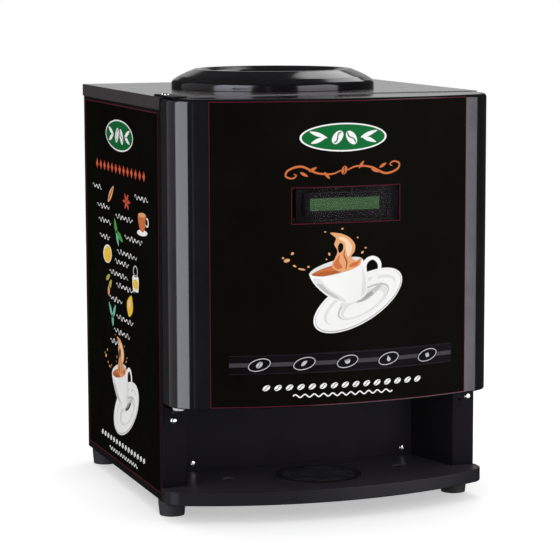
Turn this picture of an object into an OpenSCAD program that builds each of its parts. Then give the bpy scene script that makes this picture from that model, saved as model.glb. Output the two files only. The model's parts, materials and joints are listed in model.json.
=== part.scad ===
// Table-top hot coffee vending machine with a bottle seat on top, two powder
// canisters behind a bowed door, a cup niche and a drip tray.
// Millimetres, +Z up, front of the machine faces -Y, floor at Z = 0.

/* [Cabinet] */
// Width across the two side panels
body_w = 400; // [360:5:480]
// Depth from the front plane to the rear edge of the top cover
body_d = 355; // [340:5:430]
// Height from the underside of the base to the top of the cover
body_h = 480; // [430:5:580]
// Thickness of every steel sheet
sheet = 1.2; // [1:0.1:1.5]
// Depth of the skirt that the top cover turns down over the sides
skirt_h = 15; // [10:1:20]
// Width of the front flange on each side panel
flange_w = 27.5; // [24:0.5:28]
// Height of the rubber feet
foot_h = 20; // [15:1:30]
// Radius of a rubber foot
foot_r = 16.5; // [14:0.5:18]

/* [Door] */
// Height of the door's lower edge above the floor
door_z = 140; // [130:1:150]
// Gap between the door's rear edge and the cabinet
door_gap = 3; // [2:0.5:4]
// Distance of the front film's edge in front of the cabinet
door_reach = 61; // [58:1:64]
// Height of the bow across the front film
door_bow = 25; // [20:1:28]
// Radius of the door's two upright corners
door_corner = 34; // [30:1:36]
// Wall thickness of the moulded door
door_wall = 3; // [2.5:0.5:3.5]
// Distance from each edge of the front film to the side of the door
film_edge = 40; // [35:1:50]

/* [Display and keys] */
// Width of the display opening
display_w = 133; // [120:1:140]
// Height of the display opening
display_h = 41; // [36:1:44]
// Width of the key strip
strip_w = 279; // [260:1:290]
// Height of the key strip
strip_h = 23; // [21:1:26]
// Spacing of the keys
key_pitch = 52.5; // [46:0.5:56]
// Travel of a key
key_travel = 0.8; // [0.5:0.1:1]

/* [Cup niche and drip tray] */
// Depth of the niche's back wall behind the front plane
niche_d = 82; // [76:1:88]
// Half of the niche's width at its back wall
niche_back = 151; // [145:1:155]
// How far the tray reaches in front of the cabinet
tray_reach = 72; // [65:1:80]
// How far the tray's bowed front falls back from its middle to its sides
tray_fall = 45.95; // [30:0.05:50]
// Radius of the round strainer
strainer_r = 52.4; // [45:0.1:56]
// Radius of the two finger holes in the tray cover
finger_r = 9; // [8:0.5:11]

/* [Bottle seat] */
// Outer radius of the seat ring
seat_r = 127.7; // [120:0.1:135]
// Height of the seat's rim above the cover
seat_h = 23.5; // [20:0.5:28]
// Radius of the rim that carries the bottle's shoulder
seat_rim = 96; // [90:0.5:100]
// Radius of the hole for the bottle's neck
neck_r = 28.5; // [27:0.5:30]

/* [Powder lanes] */
// Distance of each powder lane from the middle
lane_x = 76; // [70:1:80]
// Width of a canister
canister_w = 110; // [90:2:116]
// Depth of the canisters' front wall behind the front plane (negative is in front)
canister_front = -14; // [-16:1:-10]
// Height of the canister shelf above the floor
shelf_z = 296.2; // [290:0.1:300]
// Radius of the auger
auger_r = 11; // [10:0.5:11.5]
// Outer radius of the mixing bowl's mouth
bowl_r = 28; // [26:0.5:30]

/* [Water and air] */
// Radius of the boiler
boiler_r = 58; // [45:1:60]
// Height of the boiler
boiler_h = 150; // [120:5:160]
// Width of the square fan frame
fan_w = 80; // [60:20:80]

/* [Hidden] */

$fn = 64;
eps = 0.01;
// standing gap between two seated pieces, and running clearance of a shaft
gap = 0.2;
run = 0.05;

// heights
top_z = foot_h + body_h;
floor_z = foot_h + sheet;
door_top = top_z - 0.8;
door_h = door_top - door_z;
ceiling_z = door_z + 10;
display_z = door_z + 0.657 * door_h;
key_z = door_z + 52;

// the door's bow is an arc that a corner arc and a short straight meet as tangents
film_w = body_w - 2 * film_edge;
bow_r = (pow(film_w / 2, 2) + pow(door_bow, 2)) / (2 * door_bow);
bow_a = asin(film_w / 2 / bow_r);
door_front = door_reach + door_bow;
bow_y = bow_r - door_front;
corner_x = body_w / 2 - door_corner;
run_in = corner_x + door_corner * sin(bow_a) - film_w / 2;
corner_y = door_corner * cos(bow_a) + run_in * tan(bow_a) - door_reach;
film_lift = 0.05;
film_t = 0.25;
strip_t = 0.6;
key_proud = 1.2;
key_w = 28.5;
key_h = 15.5;
stem_r = 2;
board_y = -62;
switch_y = board_y - 2.5;
module_y = -70;
panel_back = -50;

// the machine stands centred on its own footprint
front_y = (door_front + key_proud - body_d) / 2;

// rear wall, bottle seat and the panels in front of it
rear_y = body_d - 6.2;
side_d = body_d - sheet - gap;
seat_y = body_d / 2 + 0.5;
panel_y = seat_y - 74;
whip_y = 32;
seat_hole = 100;

// hinge, lock and latch
hinge_x = -(body_w / 2 - 11);
hinge_y = -30;
pin_r = 3;
bush_r = 5;
plate_t = 2;
lock_y = -22;
lock_z = door_z + 0.568 * door_h;
lock_x = body_w / 2 - 7;
cam_l = 20;
cam_x = body_w / 2 - 26;

// niche and tray
niche_front = body_w / 2 - flange_w - 0.2;
tray_half = body_w / 2 + 2;
tray_bow_r = (pow(tray_half, 2) + pow(tray_fall, 2)) / (2 * tray_fall);
tray_top = foot_h + 18;
tray_corner = 22;
tray_wall = 4;
tray_side = 1.3;
tray_gap = 0.78;
cover_z = tray_top - 3.4;
finger_x = 111;
cup_y = 12;

// powder lanes
canister_z = shelf_z + sheet + 0.3;
canister_top = top_z - 50;
canister_wall = 2.5;
auger_z = canister_z + canister_wall + 14;
spout_y = 2;
bowl_top = canister_z - 21.7;
whisk_z = bowl_top - 51;
hose_x = 11;

// cold tank, boiler and fan
tank_x = 85;
tank_z = shelf_z + 54.8;
boiler_x = 60;
boiler_y = seat_y + 52;
boiler_z = foot_h + 25;
boiler_top = boiler_z + boiler_h;
valve_x = [for (i = [-1:1]) boiler_x + 34 * i];
valve_y = boiler_y - 15;
fan_x = body_w / 2 - 80;
fan_z = top_z - 100;
inlet_x = -body_w / 2 + 70;
inlet_z = foot_h + 60;

// fastener places: [x, z] on the front and rear, [x, y] on the base and the cover
hinge_screw_z = [door_z - 22, door_z - 10];
hinge_screw_x = -(body_w / 2 - 13);
top_screw_y = [9, 21];
flange_screw = [body_w / 2 - 8, door_z - 17];
rear_screws = [for (s = [-1, 1], z = [foot_h + 20, foot_h + body_h / 2, top_z - 30]) [s * (body_w / 2 - 8), z]];
liner_screws = [for (s = [-1, 1], z = [foot_h + 26, ceiling_z - 12]) [s * (niche_back - 12), z]];
door_bosses = [for (s = [-1, 1], z = [door_z + 24, door_z + door_h / 2, door_top - 24]) [s * 140, z]];
feet = [for (s = [-1, 1], y = [22, body_d - 22]) [s * (body_w / 2 - 17), y]];
screw_r = 2;
screw_hole = 2.2;

// ---- helpers ----

// moves a piece drawn from the cabinet's front plane into the machine's frame
module at_front() {
    translate([0, front_y, 0]) children();
}

module slab(x0, x1, y0, y1, z0, z1) {
    translate([x0, y0, z0]) cube([x1 - x0, y1 - y0, z1 - z0]);
}

module rod_x(x0, x1, y, z, r) {
    translate([x0, y, z]) rotate([0, 90, 0]) cylinder(h = x1 - x0, r = r);
}

module rod_y(x, y0, y1, z, r) {
    translate([x, y0, z]) rotate([-90, 0, 0]) cylinder(h = y1 - y0, r = r);
}

module rod_z(x, y, z0, z1, r) {
    translate([x, y, z0]) cylinder(h = z1 - z0, r = r);
}

function arc(cx, cy, r, a0, a1, n) =
    [for (i = [0:n]) let (a = a0 + (a1 - a0) * i / n) [cx + r * cos(a), cy + r * sin(a)]];

function mirrored(points) = [for (i = [len(points) - 1:-1:0]) [-points[i].x, points[i].y]];

// outline of the door seen from above, drawn smaller by inset
function door_right(inset) = concat(
    [[body_w / 2 - inset, -door_gap]],
    arc(corner_x, corner_y, door_corner - inset, 0, -(90 - bow_a), 10),
    arc(0, bow_y, bow_r - inset, -90 + bow_a, -90, 12)
);
function door_outline(inset) = concat(door_right(inset), mirrored(door_right(inset)));

module door_block(inset, z0, z1) {
    translate([0, 0, z0]) linear_extrude(z1 - z0) polygon(door_outline(inset));
}

// a curved sheet on the door's bow, between two distances outside its face
module bow_sheet(width, z0, z1, lift0, lift1) {
    a = asin(width / 2 / bow_r);
    outline = concat(
        arc(0, bow_y, bow_r + lift1, -90 - a, -90 + a, 24),
        arc(0, bow_y, bow_r + lift0, -90 + a, -90 - a, 24)
    );
    translate([0, 0, z0]) linear_extrude(z1 - z0) polygon(outline);
}

// places children on the bow at x, with their own -Y pointing straight out of it
module on_bow(x, z) {
    a = asin(x / bow_r);
    translate([x, bow_y - bow_r * cos(a), z]) rotate([0, 0, a]) children();
}

// a slot-shaped solid along Y, tilted in the face of the door
module oval_block(w, h, y0, y1) {
    rotate([0, -14, 0]) {
        translate([-(w - h) / 2, y0, -h / 2]) cube([w - h, y1 - y0, h]);
        rod_y(-(w - h) / 2, y0, y1, 0, h / 2);
        rod_y((w - h) / 2, y0, y1, 0, h / 2);
    }
}

// pan-head screw with its head on the plane Z = 0 and its shank down
module screw(length, head_r = 3.8, head_h = 1.6) {
    difference() {
        cylinder(h = head_h, r = head_r);
        for (a = [0, 90]) rotate([0, 0, a]) translate([-2, -0.5, head_h - 0.8]) cube([4, 1, 1]);
    }
    translate([0, 0, -length]) cylinder(h = length + eps, r = screw_r);
}

// smooth route: each pass cuts the corners of the one before it
function cut(p) = concat(
    [p[0]],
    [for (i = [0:len(p) - 2]) each [0.75 * p[i] + 0.25 * p[i + 1], 0.25 * p[i] + 0.75 * p[i + 1]]],
    [p[len(p) - 1]]
);

function unit(v) = v / norm(v);
function along(p, i) = unit(p[min(i + 1, len(p) - 1)] - p[max(i - 1, 0)]);
function square_to(v, t) = unit(v - (v * t) * t);
// reference direction carried along the route without twist
function carried(p, i) = i == 0
    ? square_to(abs(along(p, 0).z) > 0.9 ? [1, 0, 0] : [0, 0, 1], along(p, 0))
    : square_to(carried(p, i - 1), along(p, i));

// a hose swept along a route of points
module hose(route, r, sides = 10) {
    p = cut(cut(route));
    rings = [for (i = [0:len(p) - 1])
        let (t = along(p, i), u = carried(p, i), v = cross(t, u))
        [for (k = [0:sides - 1]) p[i] + r * (cos(360 * k / sides) * u + sin(360 * k / sides) * v)]];
    points = [for (ring = rings) each ring];
    last = len(p) - 1;
    walls = [for (i = [0:last - 1], k = [0:sides - 1])
        let (a = i * sides + k, b = i * sides + (k + 1) % sides)
        each [[a, a + sides, b + sides], [a, b + sides, b]]];
    ends = [[for (k = [0:sides - 1]) k], [for (k = [sides - 1:-1:0]) last * sides + k]];
    polyhedron(points, concat(walls, ends));
}

// ---- cabinet ----

module base_pan() {
    half = body_w / 2 - sheet - gap;
    color("dimgray") at_front() difference() {
        union() {
            slab(-half, half, sheet + gap, rear_y - sheet - 2 * gap, foot_h, floor_z);
            for (s = [-1, 1])
                translate([s * (half - sheet / 2) - sheet / 2, niche_d + 8, foot_h])
                    cube([sheet, rear_y - niche_d - 12, 14]);
        }
        for (f = feet) rod_z(f.x, f.y, foot_h - 1, floor_z + 1, 2.7);
        for (x = [-60:12:60])
            slab(x - 2.5, x + 2.5, 120, 170, foot_h - 1, floor_z + 1);
    }
}

// one side panel with its front and rear flanges; s is -1 on the left
module side_panel(s) {
    inner = body_w / 2 - sheet;
    mirror([s < 0 ? 1 : 0, 0, 0]) difference() {
        union() {
            slab(inner, body_w / 2, 0, side_d, foot_h, top_z - sheet - gap);
            slab(body_w / 2 - flange_w, inner + eps, 0, sheet, foot_h, top_z - skirt_h - gap);
            slab(body_w / 2 - 16, inner + eps, rear_y - sheet - gap, rear_y - gap, foot_h, top_z - skirt_h - gap);
        }
        for (p = rear_screws) rod_y(abs(p.x), rear_y - 4, rear_y + 1, p[1], screw_hole);
        if (s > 0) {
            rod_y(flange_screw.x, -1, 3, flange_screw[1], screw_hole);
            rod_y(body_w / 2 - 19, -1, 3, door_z - 20, 1.6);
            for (z = [lock_z + 24, lock_z + 36]) rod_y(body_w / 2 - 14, -1, 3, z, screw_hole);
        } else {
            for (z = hinge_screw_z) rod_y(-hinge_screw_x, -1, 3, z, screw_hole);
        }
    }
}

module left_side_panel() {
    color("#161616") at_front() side_panel(-1);
}

module right_side_panel() {
    color("#161616") at_front() side_panel(1);
}

module side_films() {
    color("#2a2620") at_front() for (s = [-1, 1])
        translate([s * (body_w / 2 + film_t / 2), 0, 0])
            slab(-film_t / 2, film_t / 2, 9, side_d - 9, foot_h + 9, top_z - skirt_h - 4);
}

module rear_panel() {
    half = body_w / 2 - sheet - gap;
    color("#1c1c1c") at_front() difference() {
        slab(-half, half, rear_y, rear_y + sheet, foot_h, top_z - skirt_h - gap);
        for (p = rear_screws) rod_y(p.x, rear_y - 1, rear_y + 3, p[1], screw_hole);
        // fan grille
        rod_y(fan_x, rear_y - 1, rear_y + 3, fan_z, 3);
        for (ring = [1:4], i = [0:6 * ring - 1])
            rod_y(fan_x + 8 * ring * cos(60 * i / ring), rear_y - 1, rear_y + 3,
                fan_z + 8 * ring * sin(60 * i / ring), 2.8);
        // air slots
        for (i = [0:7])
            slab(-0.35 * body_w, -0.1 * body_w, rear_y - 1, rear_y + 3, fan_z - 35 + 10 * i, fan_z - 31 + 10 * i);
        for (i = [0:5])
            slab(0.1 * body_w, 0.35 * body_w, rear_y - 1, rear_y + 3, foot_h + 30 + 10 * i, foot_h + 34 + 10 * i);
        // power inlet
        slab(inlet_x - 14.2, inlet_x + 14.2, rear_y - 1, rear_y + 3, inlet_z - 24.2, inlet_z + 24.2);
    }
}

module top_cover() {
    outer = body_w / 2 + gap + 1;
    color("#242428") at_front() difference() {
        union() {
            slab(-outer, outer, 0, body_d, top_z - sheet, top_z);
            for (s = [-1, 1])
                slab(min(s * outer, s * (outer - 1)), max(s * outer, s * (outer - 1)),
                    0, body_d, top_z - skirt_h, top_z);
            slab(-outer, outer, body_d - sheet, body_d, top_z - skirt_h, top_z);
            slab(-(body_w / 2 - sheet - gap), body_w / 2 - sheet - gap, 0, sheet, top_z - skirt_h, top_z);
        }
        rod_z(0, seat_y, top_z - 3, top_z + 1, seat_hole);
        for (y = top_screw_y) rod_z(hinge_x, y, top_z - 3, top_z + 1, screw_hole);
    }
}

module rubber_feet() {
    color("#202020") at_front() for (f = feet) translate([f.x, f.y, 0]) difference() {
        union() {
            cylinder(h = foot_h - 5, r1 = foot_r - 1.5, r2 = foot_r);
            translate([0, 0, foot_h - 5 - eps]) cylinder(h = 5 + eps, r = foot_r);
        }
        translate([0, 0, -1]) cylinder(h = 10, r = 6.5);
        cylinder(h = foot_h + 1, r = 2.7);
        for (i = [0:15]) rotate([0, 0, 22.5 * i])
            translate([foot_r + 0.4, 0, 2]) cylinder(h = foot_h - 7, r = 1.3, $fn = 16);
    }
}

module screws() {
    color("silver") at_front() {
        for (z = hinge_screw_z)
            translate([hinge_screw_x, -plate_t, z]) rotate([90, 0, 0]) screw(plate_t + 4);
        for (y = top_screw_y)
            translate([hinge_x, y, top_z + plate_t]) screw(plate_t + 4);
        translate([flange_screw.x, 0, flange_screw[1]]) rotate([90, 0, 0]) screw(5);
        for (z = [lock_z + 24, lock_z + 36])
            translate([body_w / 2 - 14, -1.6, z]) rotate([90, 0, 0]) screw(5, 3.4, 1.2);
        for (p = rear_screws)
            translate([p.x, rear_y + sheet, p[1]]) rotate([-90, 0, 0]) screw(5);
        for (p = liner_screws)
            translate([p.x, niche_d, p[1]]) rotate([90, 0, 0]) screw(5);
        for (f = feet) translate([f.x, f.y, 0]) {
            translate([0, 0, 5]) cylinder(h = 4, r = 5);
            translate([0, 0, 5]) cylinder(h = foot_h + 2, r = 2.5);
            translate([0, 0, floor_z]) cylinder(h = 4, r = 4.6, $fn = 6);
        }
    }
}

// ---- cup niche ----

function niche_half(y) = niche_front - (niche_front - niche_back) * y / niche_d;

module niche_liner() {
    y0 = sheet + gap;
    outline = [
        [niche_half(y0), y0], [niche_half(y0) + sheet, y0], [niche_half(niche_d) + sheet, niche_d + sheet],
        [-niche_half(niche_d) - sheet, niche_d + sheet], [-niche_half(y0) - sheet, y0], [-niche_half(y0), y0],
        [-niche_half(niche_d), niche_d], [niche_half(niche_d), niche_d]
    ];
    color("#141416") at_front() difference() {
        translate([0, 0, floor_z + gap]) linear_extrude(ceiling_z - floor_z - 2 * gap) polygon(outline);
        for (p = liner_screws) rod_y(p.x, niche_d - 1, niche_d + 3, p[1], screw_hole);
    }
}

module niche_ceiling() {
    half = body_w / 2 - sheet - gap;
    color("#303034") at_front() difference() {
        slab(-half, half, sheet + gap, panel_y, ceiling_z, ceiling_z + sheet);
        // opening that the outlet hoses and the nozzle bracket pass through
        slab(-30, 30, 0, whip_y, ceiling_z - 1, ceiling_z + 3);
    }
}

// ---- inner panels ----

module whipper_panel() {
    half = body_w / 2 - sheet - gap;
    color("gainsboro") at_front() difference() {
        slab(-half, half, whip_y, whip_y + sheet, ceiling_z + sheet, shelf_z);
        for (s = [-1, 1]) {
            rod_y(s * lane_x, whip_y - 1, whip_y + 3, whisk_z, 8);
            rod_y(s * (lane_x - 18), whip_y - 1, whip_y + 3, bowl_top + 8, 4.2);
        }
        rod_y(0, whip_y - 1, whip_y + 3, ceiling_z + 24, 4.2);
    }
}

module canister_shelf() {
    half = body_w / 2 - sheet - gap;
    color("gainsboro") at_front()
        slab(-half, half, spout_y + 18, panel_y + sheet, shelf_z, shelf_z + sheet);
}

module motor_panel() {
    half = body_w / 2 - sheet - gap;
    color("gainsboro") at_front() difference() {
        union() {
            slab(-half, half, panel_y, panel_y + sheet, shelf_z + sheet, top_z - 6);
            slab(-tank_x - 10, tank_x + 10, panel_y, seat_y + 68, tank_z - sheet, tank_z);
        }
        for (s = [-1, 1]) rod_y(s * lane_x, panel_y - 1, panel_y + 3, auger_z, 9);
        rod_z(0, seat_y + 48, tank_z - 3, tank_z + 3, 9);
    }
}

// ---- hinges and latch ----

module hinge_brackets() {
    x0 = -(body_w / 2 - 2);
    x1 = x0 + 20;
    leg_z = door_z - 6;
    color("#1a1a1a") at_front() {
        // lower: a leg on the flange, a shelf under the door and a pin up
        difference() {
            union() {
                slab(x0, x1, -plate_t, 0, door_z - 28, leg_z + plate_t);
                slab(x0, x1, hinge_y - 8, 0, leg_z, leg_z + plate_t);
            }
            for (z = hinge_screw_z) rod_y(hinge_screw_x, -3, 1, z, screw_hole);
        }
        rod_z(hinge_x, hinge_y, leg_z, door_z + 9, pin_r);
        // upper: a plate on the cover with a pin down
        difference() {
            slab(x0, x1, hinge_y - 8, 30, top_z, top_z + plate_t);
            for (y = top_screw_y) rod_z(hinge_x, y, top_z - 1, top_z + 4, screw_hole);
        }
        rod_z(hinge_x, hinge_y, top_z - 13, top_z + plate_t, pin_r);
    }
}

module lock_strike() {
    x0 = body_w / 2 - 30;
    lip = lock_y - 7;
    top = lock_z + 28;
    color("silver") at_front() difference() {
        union() {
            slab(x0, x0 + 22, -1.6, 0, lock_z + 19, lock_z + 42);
            slab(x0, x0 + 11, lip - 1.6, 0, top, top + 1.6);
            slab(x0, x0 + 11, lip - 1.6, lip, lock_z + 14, top + 1.6);
        }
        for (z = [lock_z + 24, lock_z + 36]) rod_y(body_w / 2 - 14, -3, 1, z, screw_hole);
    }
}

// ---- water, motors and electrics ----

module auger_motors() {
    color("#3c3c3c") at_front() for (s = [-1, 1]) difference() {
        union() {
            slab(s * lane_x - 30, s * lane_x + 30, panel_y + sheet + gap + 8, panel_y + 34, auger_z - 30, auger_z + 30);
            rod_y(s * lane_x, panel_y + sheet + gap, panel_y + 20, auger_z, 14);
            rod_y(s * lane_x, panel_y + 34 - eps, panel_y + 62, auger_z - 10, 15);
        }
        rod_y(s * lane_x, panel_y, panel_y + 22, auger_z, 4 + run);
    }
}

module whipper_motors() {
    y0 = whip_y + sheet + gap;
    color("#4a4a4e") at_front() for (s = [-1, 1]) difference() {
        union() {
            rod_y(s * lane_x, y0, y0 + 3, whisk_z, 26);
            rod_y(s * lane_x, y0, y0 + 44, whisk_z, 21);
            rod_y(s * lane_x, y0 + 44 - eps, y0 + 50, whisk_z, 9);
        }
        rod_y(s * lane_x, y0 - 1, y0 + 34, whisk_z, 3 + run);
    }
}

module nozzle_bracket() {
    color("#2a2a2a") at_front() difference() {
        slab(-22, 22, cup_y - 8, whip_y - gap, door_z + 7, door_z + 23);
        for (x = [-hose_x, hose_x]) {
            rod_z(x, cup_y, door_z, door_z + 30, 4.3);
            slab(x - 4.3, x + 4.3, cup_y - 12, cup_y, door_z, door_z + 30);
        }
        rod_z(0, cup_y + 12, door_z, door_z + 30, 3.2);
    }
}

module water_spouts() {
    z = bowl_top + 8;
    color("silver") at_front() for (s = [-1, 1]) translate([s * (lane_x - 18), 0, 0]) difference() {
        union() {
            rod_y(0, 11, whip_y + 22, z, 4);
            rod_z(0, 17, bowl_top + 1.5, z - 1, 3.2);
        }
        rod_y(0, 13.5, whip_y + 23, z, 2.4);
        rod_z(0, 17, bowl_top, z, 1.8);
    }
}

module boiler() {
    shell = concat(
        [[0, boiler_z]],
        arc(boiler_r - 12, boiler_z + 12, 12, -90, 0, 8),
        arc(boiler_r - 12, boiler_top - 12, 12, 0, 90, 8),
        [[0, boiler_top]]
    );
    color("silver") at_front() translate([boiler_x, boiler_y, 0]) {
        rotate_extrude() polygon(shell);
        // stand on the base
        difference() {
            translate([0, 0, floor_z]) cylinder(h = boiler_z - floor_z + 2, r = 44);
            translate([0, 0, floor_z - 1]) cylinder(h = boiler_z - floor_z + 1, r = 40);
        }
        // inlet stub and thermostat
        rod_x(-boiler_r - 12, -boiler_r + 4, 0, boiler_z + 30, 5);
        translate([-8, -boiler_r - 5, boiler_z + 70]) cube([16, 8, 22]);
    }
}

module cold_tank() {
    y0 = seat_y - 66;
    y1 = seat_y + 64;
    tank_top = top_z - 32;
    color("ivory", 0.6) at_front() difference() {
        union() {
            slab(-tank_x, tank_x, y0, y1, tank_z, tank_top);
            slab(-tank_x - 3, tank_x + 3, y0 - 3, y1 + 3, tank_top - 6, tank_top);
            rod_z(0, seat_y + 48, tank_z - 14, tank_z + 1, 6);
        }
        slab(-tank_x + 2.5, tank_x - 2.5, y0 + 2.5, y1 - 2.5, tank_z + 2.5, tank_top - 2.5);
        rod_z(0, seat_y, tank_top - 4, tank_top + 1, neck_r + 5.5);
        rod_z(0, seat_y + 48, tank_z - 15, tank_z + 4, 3.5);
    }
}

module solenoid_valves() {
    color("goldenrod") at_front() for (x = valve_x) {
        rod_z(x, valve_y, boiler_top, boiler_top + 14, 7);
        rod_y(x, valve_y - 20, valve_y, boiler_top + 7, 4);
        translate([x - 12, valve_y - 12, boiler_top + 14]) cube([24, 26, 30]);
        rod_z(x, valve_y, boiler_top + 44, boiler_top + 48, 5);
    }
}

// fixed hoses: tank to boiler, two lanes and the plain hot water nozzle
tank_y = seat_y + 48;
valve_out = [valve_y - 20.2, boiler_top + 7];
spout_in = [whip_y + 22.2, bowl_top + 8];
feed_route = [
    [0, tank_y, tank_z - 14.2], [0, tank_y, tank_z - 40], [-30, boiler_y, tank_z - 80],
    [-35, boiler_y, boiler_z + 70], [-30, boiler_y, boiler_z + 30],
    [boiler_x - boiler_r - 12.2, boiler_y, boiler_z + 30]
];

function lane_route(valve, s) = [
    [valve_x[valve], valve_out.x, valve_out.y],
    [valve_x[valve], valve_out.x - 22, valve_out.y],
    [valve_x[valve] * 0.6 + s * 26, 120, valve_out.y + 24],
    [s * (lane_x - 18), 100, spout_in.y - 20],
    [s * (lane_x - 18), 84, spout_in.y],
    [s * (lane_x - 18), spout_in.x, spout_in.y]
];

water_route = [
    [valve_x[1], valve_out.x, valve_out.y], [valve_x[1], valve_out.x - 30, valve_out.y],
    [0, 110, valve_out.y - 16], [0, 70, ceiling_z + 24], [0, cup_y + 18, ceiling_z + 24],
    [0, cup_y + 12, ceiling_z + 22], [0, cup_y + 12, ceiling_z + 14], [0, cup_y + 12, door_z + 6]
];

module water_hoses() {
    color("white", 0.8) at_front() {
        hose(feed_route, 5);
        hose(lane_route(0, -1), 3.8);
        hose(lane_route(2, 1), 3.8);
        hose(water_route, 3);
    }
}

module power_supply() {
    x0 = -body_w / 2 + 30;
    y0 = rear_y - 182;
    color("silver") at_front() difference() {
        slab(x0, x0 + 98, y0, y0 + 158, floor_z, floor_z + 40);
        for (i = [0:8]) slab(x0 + 20, x0 + 78, y0 + 30 + 11 * i, y0 + 34 + 11 * i, floor_z + 38, floor_z + 41);
        slab(x0 - 1, x0 + 99, y0 - 1, y0 + 14, floor_z + 18, floor_z + 41);
        for (i = [0:6]) rod_z(x0 + 12 + 12 * i, y0 + 7, floor_z + 12, floor_z + 19, 3);
    }
}

module control_board() {
    x0 = -body_w / 2 + sheet + gap;
    y0 = seat_y - 48;
    z0 = shelf_z - 90;
    color("darkgreen") at_front() {
        slab(x0 + 8, x0 + 9.6, y0, y0 + 150, z0, z0 + 130);
        for (y = [6, 144], z = [6, 124]) rod_x(x0, x0 + 8 + eps, y0 + y, z0 + z, 3.5);
        slab(x0 + 9.5, x0 + 42, y0 + 12, y0 + 52, z0 + 80, z0 + 118);
        for (i = [0:3]) slab(x0 + 9.5, x0 + 26, y0 + 66 + 19 * i, y0 + 81 + 19 * i, z0 + 96, z0 + 118);
        for (i = [0:1]) rod_x(x0 + 9.5, x0 + 34, y0 + 22 + 22 * i, z0 + 56, 8);
        slab(x0 + 9.5, x0 + 14, y0 + 70, y0 + 106, z0 + 44, z0 + 58);
        for (z = [8, 26]) slab(x0 + 9.5, x0 + 20, y0 + 14, y0 + 136, z0 + z, z0 + z + 8);
    }
}

module fan_frame() {
    y0 = rear_y - 25 - gap;
    color("#222222") at_front() translate([fan_x, y0, fan_z]) difference() {
        union() {
            difference() {
                slab(-fan_w / 2, fan_w / 2, 0, 25, -fan_w / 2, fan_w / 2);
                rod_y(0, -1, 26, 0, 37.5);
            }
            for (a = [45:90:315]) rotate([0, a, 0]) slab(14, 39, 21.5, 25, -2, 2);
            rod_y(0, 21, 25, 0, 16);
            rod_y(0, 6, 22, 0, 2);
        }
        for (x = [-36, 36], z = [-36, 36]) rod_y(x, -1, 26, z, 2.1);
    }
}

module fan_rotor() {
    y0 = rear_y - 25 - gap;
    color("#333333") at_front() translate([fan_x, y0, fan_z]) difference() {
        union() {
            rod_y(0, 3, 20.5, 0, 15);
            intersection() {
                for (i = [0:6]) rotate([0, 360 / 7 * i, 0])
                    translate([8, 11.5, 0]) rotate([40, 0, 0]) translate([0, -0.9, -10]) cube([27, 1.8, 20]);
                rod_y(0, 3, 20.5, 0, 35);
            }
        }
        rod_y(0, 5, 21, 0, 2 + run);
    }
}

module power_inlet() {
    color("#151515") at_front() translate([inlet_x, rear_y, inlet_z]) difference() {
        union() {
            slab(-14, 14, -20, sheet + gap + eps, -24, 24);
            slab(-17, 17, sheet + gap, sheet + gap + 2.2, -29, 29);
        }
        // socket with its three pins left standing
        difference() {
            slab(-12, 12, -14, 5, -20, -4);
            for (x = [-7, 0, 7]) slab(x - 1, x + 1, -15, -1, x == 0 ? -13 : -17, x == 0 ? -7 : -11);
        }
        // window for the rocker and its two pivot sockets
        slab(-6.6, 6.6, -10, 5, 0.5, 21.5);
        rod_x(-8, 8, 0.6, 11, 1.5 + run);
    }
}

module power_rocker() {
    profile = [[-8.8, 0.4], [-8.8, 2], [0, 1.6], [8.8, 4.1], [8.8, 0.4], [5, -5], [-5, -5]];
    color("firebrick") at_front() translate([inlet_x, rear_y + 0.6, inlet_z + 11]) {
        rotate([90, 0, 90]) translate([0, 0, -6.4]) linear_extrude(12.8)
            polygon([for (p = profile) [p[1], p[0]]]);
        rod_x(-7.8, 7.8, 0, 0, 1.5);
    }
}

// ---- door ----

module lock_pocket() {
    rod_x(lock_x, body_w / 2 + 2, lock_y, lock_z, 15);
}

module door_shell() {
    color("#101012") at_front() difference() {
        door_block(0, door_z, door_top);
        // hollow, open at the back, around the bosses that stand in it
        difference() {
            door_block(door_wall, door_z + door_wall, door_top - door_wall);
            for (p = door_bosses) rod_y(p[0], -80, panel_back - gap, p[1], 5);
            rod_z(hinge_x, hinge_y, door_z, door_z + 10, 8);
            rod_z(hinge_x, hinge_y, door_top - 11, door_top, 8);
            slab(lock_x - 5, body_w / 2, lock_y - 18, lock_y + 17, lock_z - 18, lock_z + 18);
        }
        lock_pocket();
        rod_x(lock_x - 6, body_w / 2, lock_y, lock_z, 9.5);
        for (p = door_bosses) rod_y(p[0], panel_back - 6, panel_back, p[1], 1.4);
        rod_z(hinge_x, hinge_y, door_z - 1, door_z + 11, bush_r);
        rod_z(hinge_x, hinge_y, door_top - 12, door_top + 1, bush_r);
        bow_window(display_w, display_h, display_z);
        for (i = [0:4]) on_bow(key_pitch * (i - 2), key_z) oval_block(key_w + 0.5, key_h + 0.5, -6, 30);
    }
}

module bow_window(w, h, z) {
    bow_sheet(w, z - h / 2, z + h / 2, -20, 5);
}

module door_inner_panel() {
    color("#26262a") at_front() difference() {
        union() {
            slab(-150, 150, panel_back, panel_back + 2, door_z + 8, door_top - 8);
            for (x = [-52, 52], z = [-13, 13])
                rod_y(x, module_y + 1.6 + gap, panel_back + 1, display_z + z, 3);
            for (x = [-112, 112], z = [-8, 8])
                rod_y(x, board_y + 1.6 + gap, panel_back + 1, key_z + z, 3);
        }
        for (p = door_bosses) rod_y(p[0], panel_back - 1, panel_back + 3, p[1], 1.8);
    }
}

module front_film() {
    color("#2a2620") at_front() difference() {
        bow_sheet(film_w, door_z + 2, door_top - 3, film_lift, film_lift + film_t);
        bow_window(display_w, display_h, display_z);
        bow_window(strip_w + 2 * gap, strip_h + 2 * gap, key_z);
    }
}

module display_window() {
    color("#0b1a12", 0.5) at_front()
        bow_sheet(display_w - 2 * gap, display_z - display_h / 2 + gap, display_z + display_h / 2 - gap, -2.8, -1.2);
}

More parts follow.
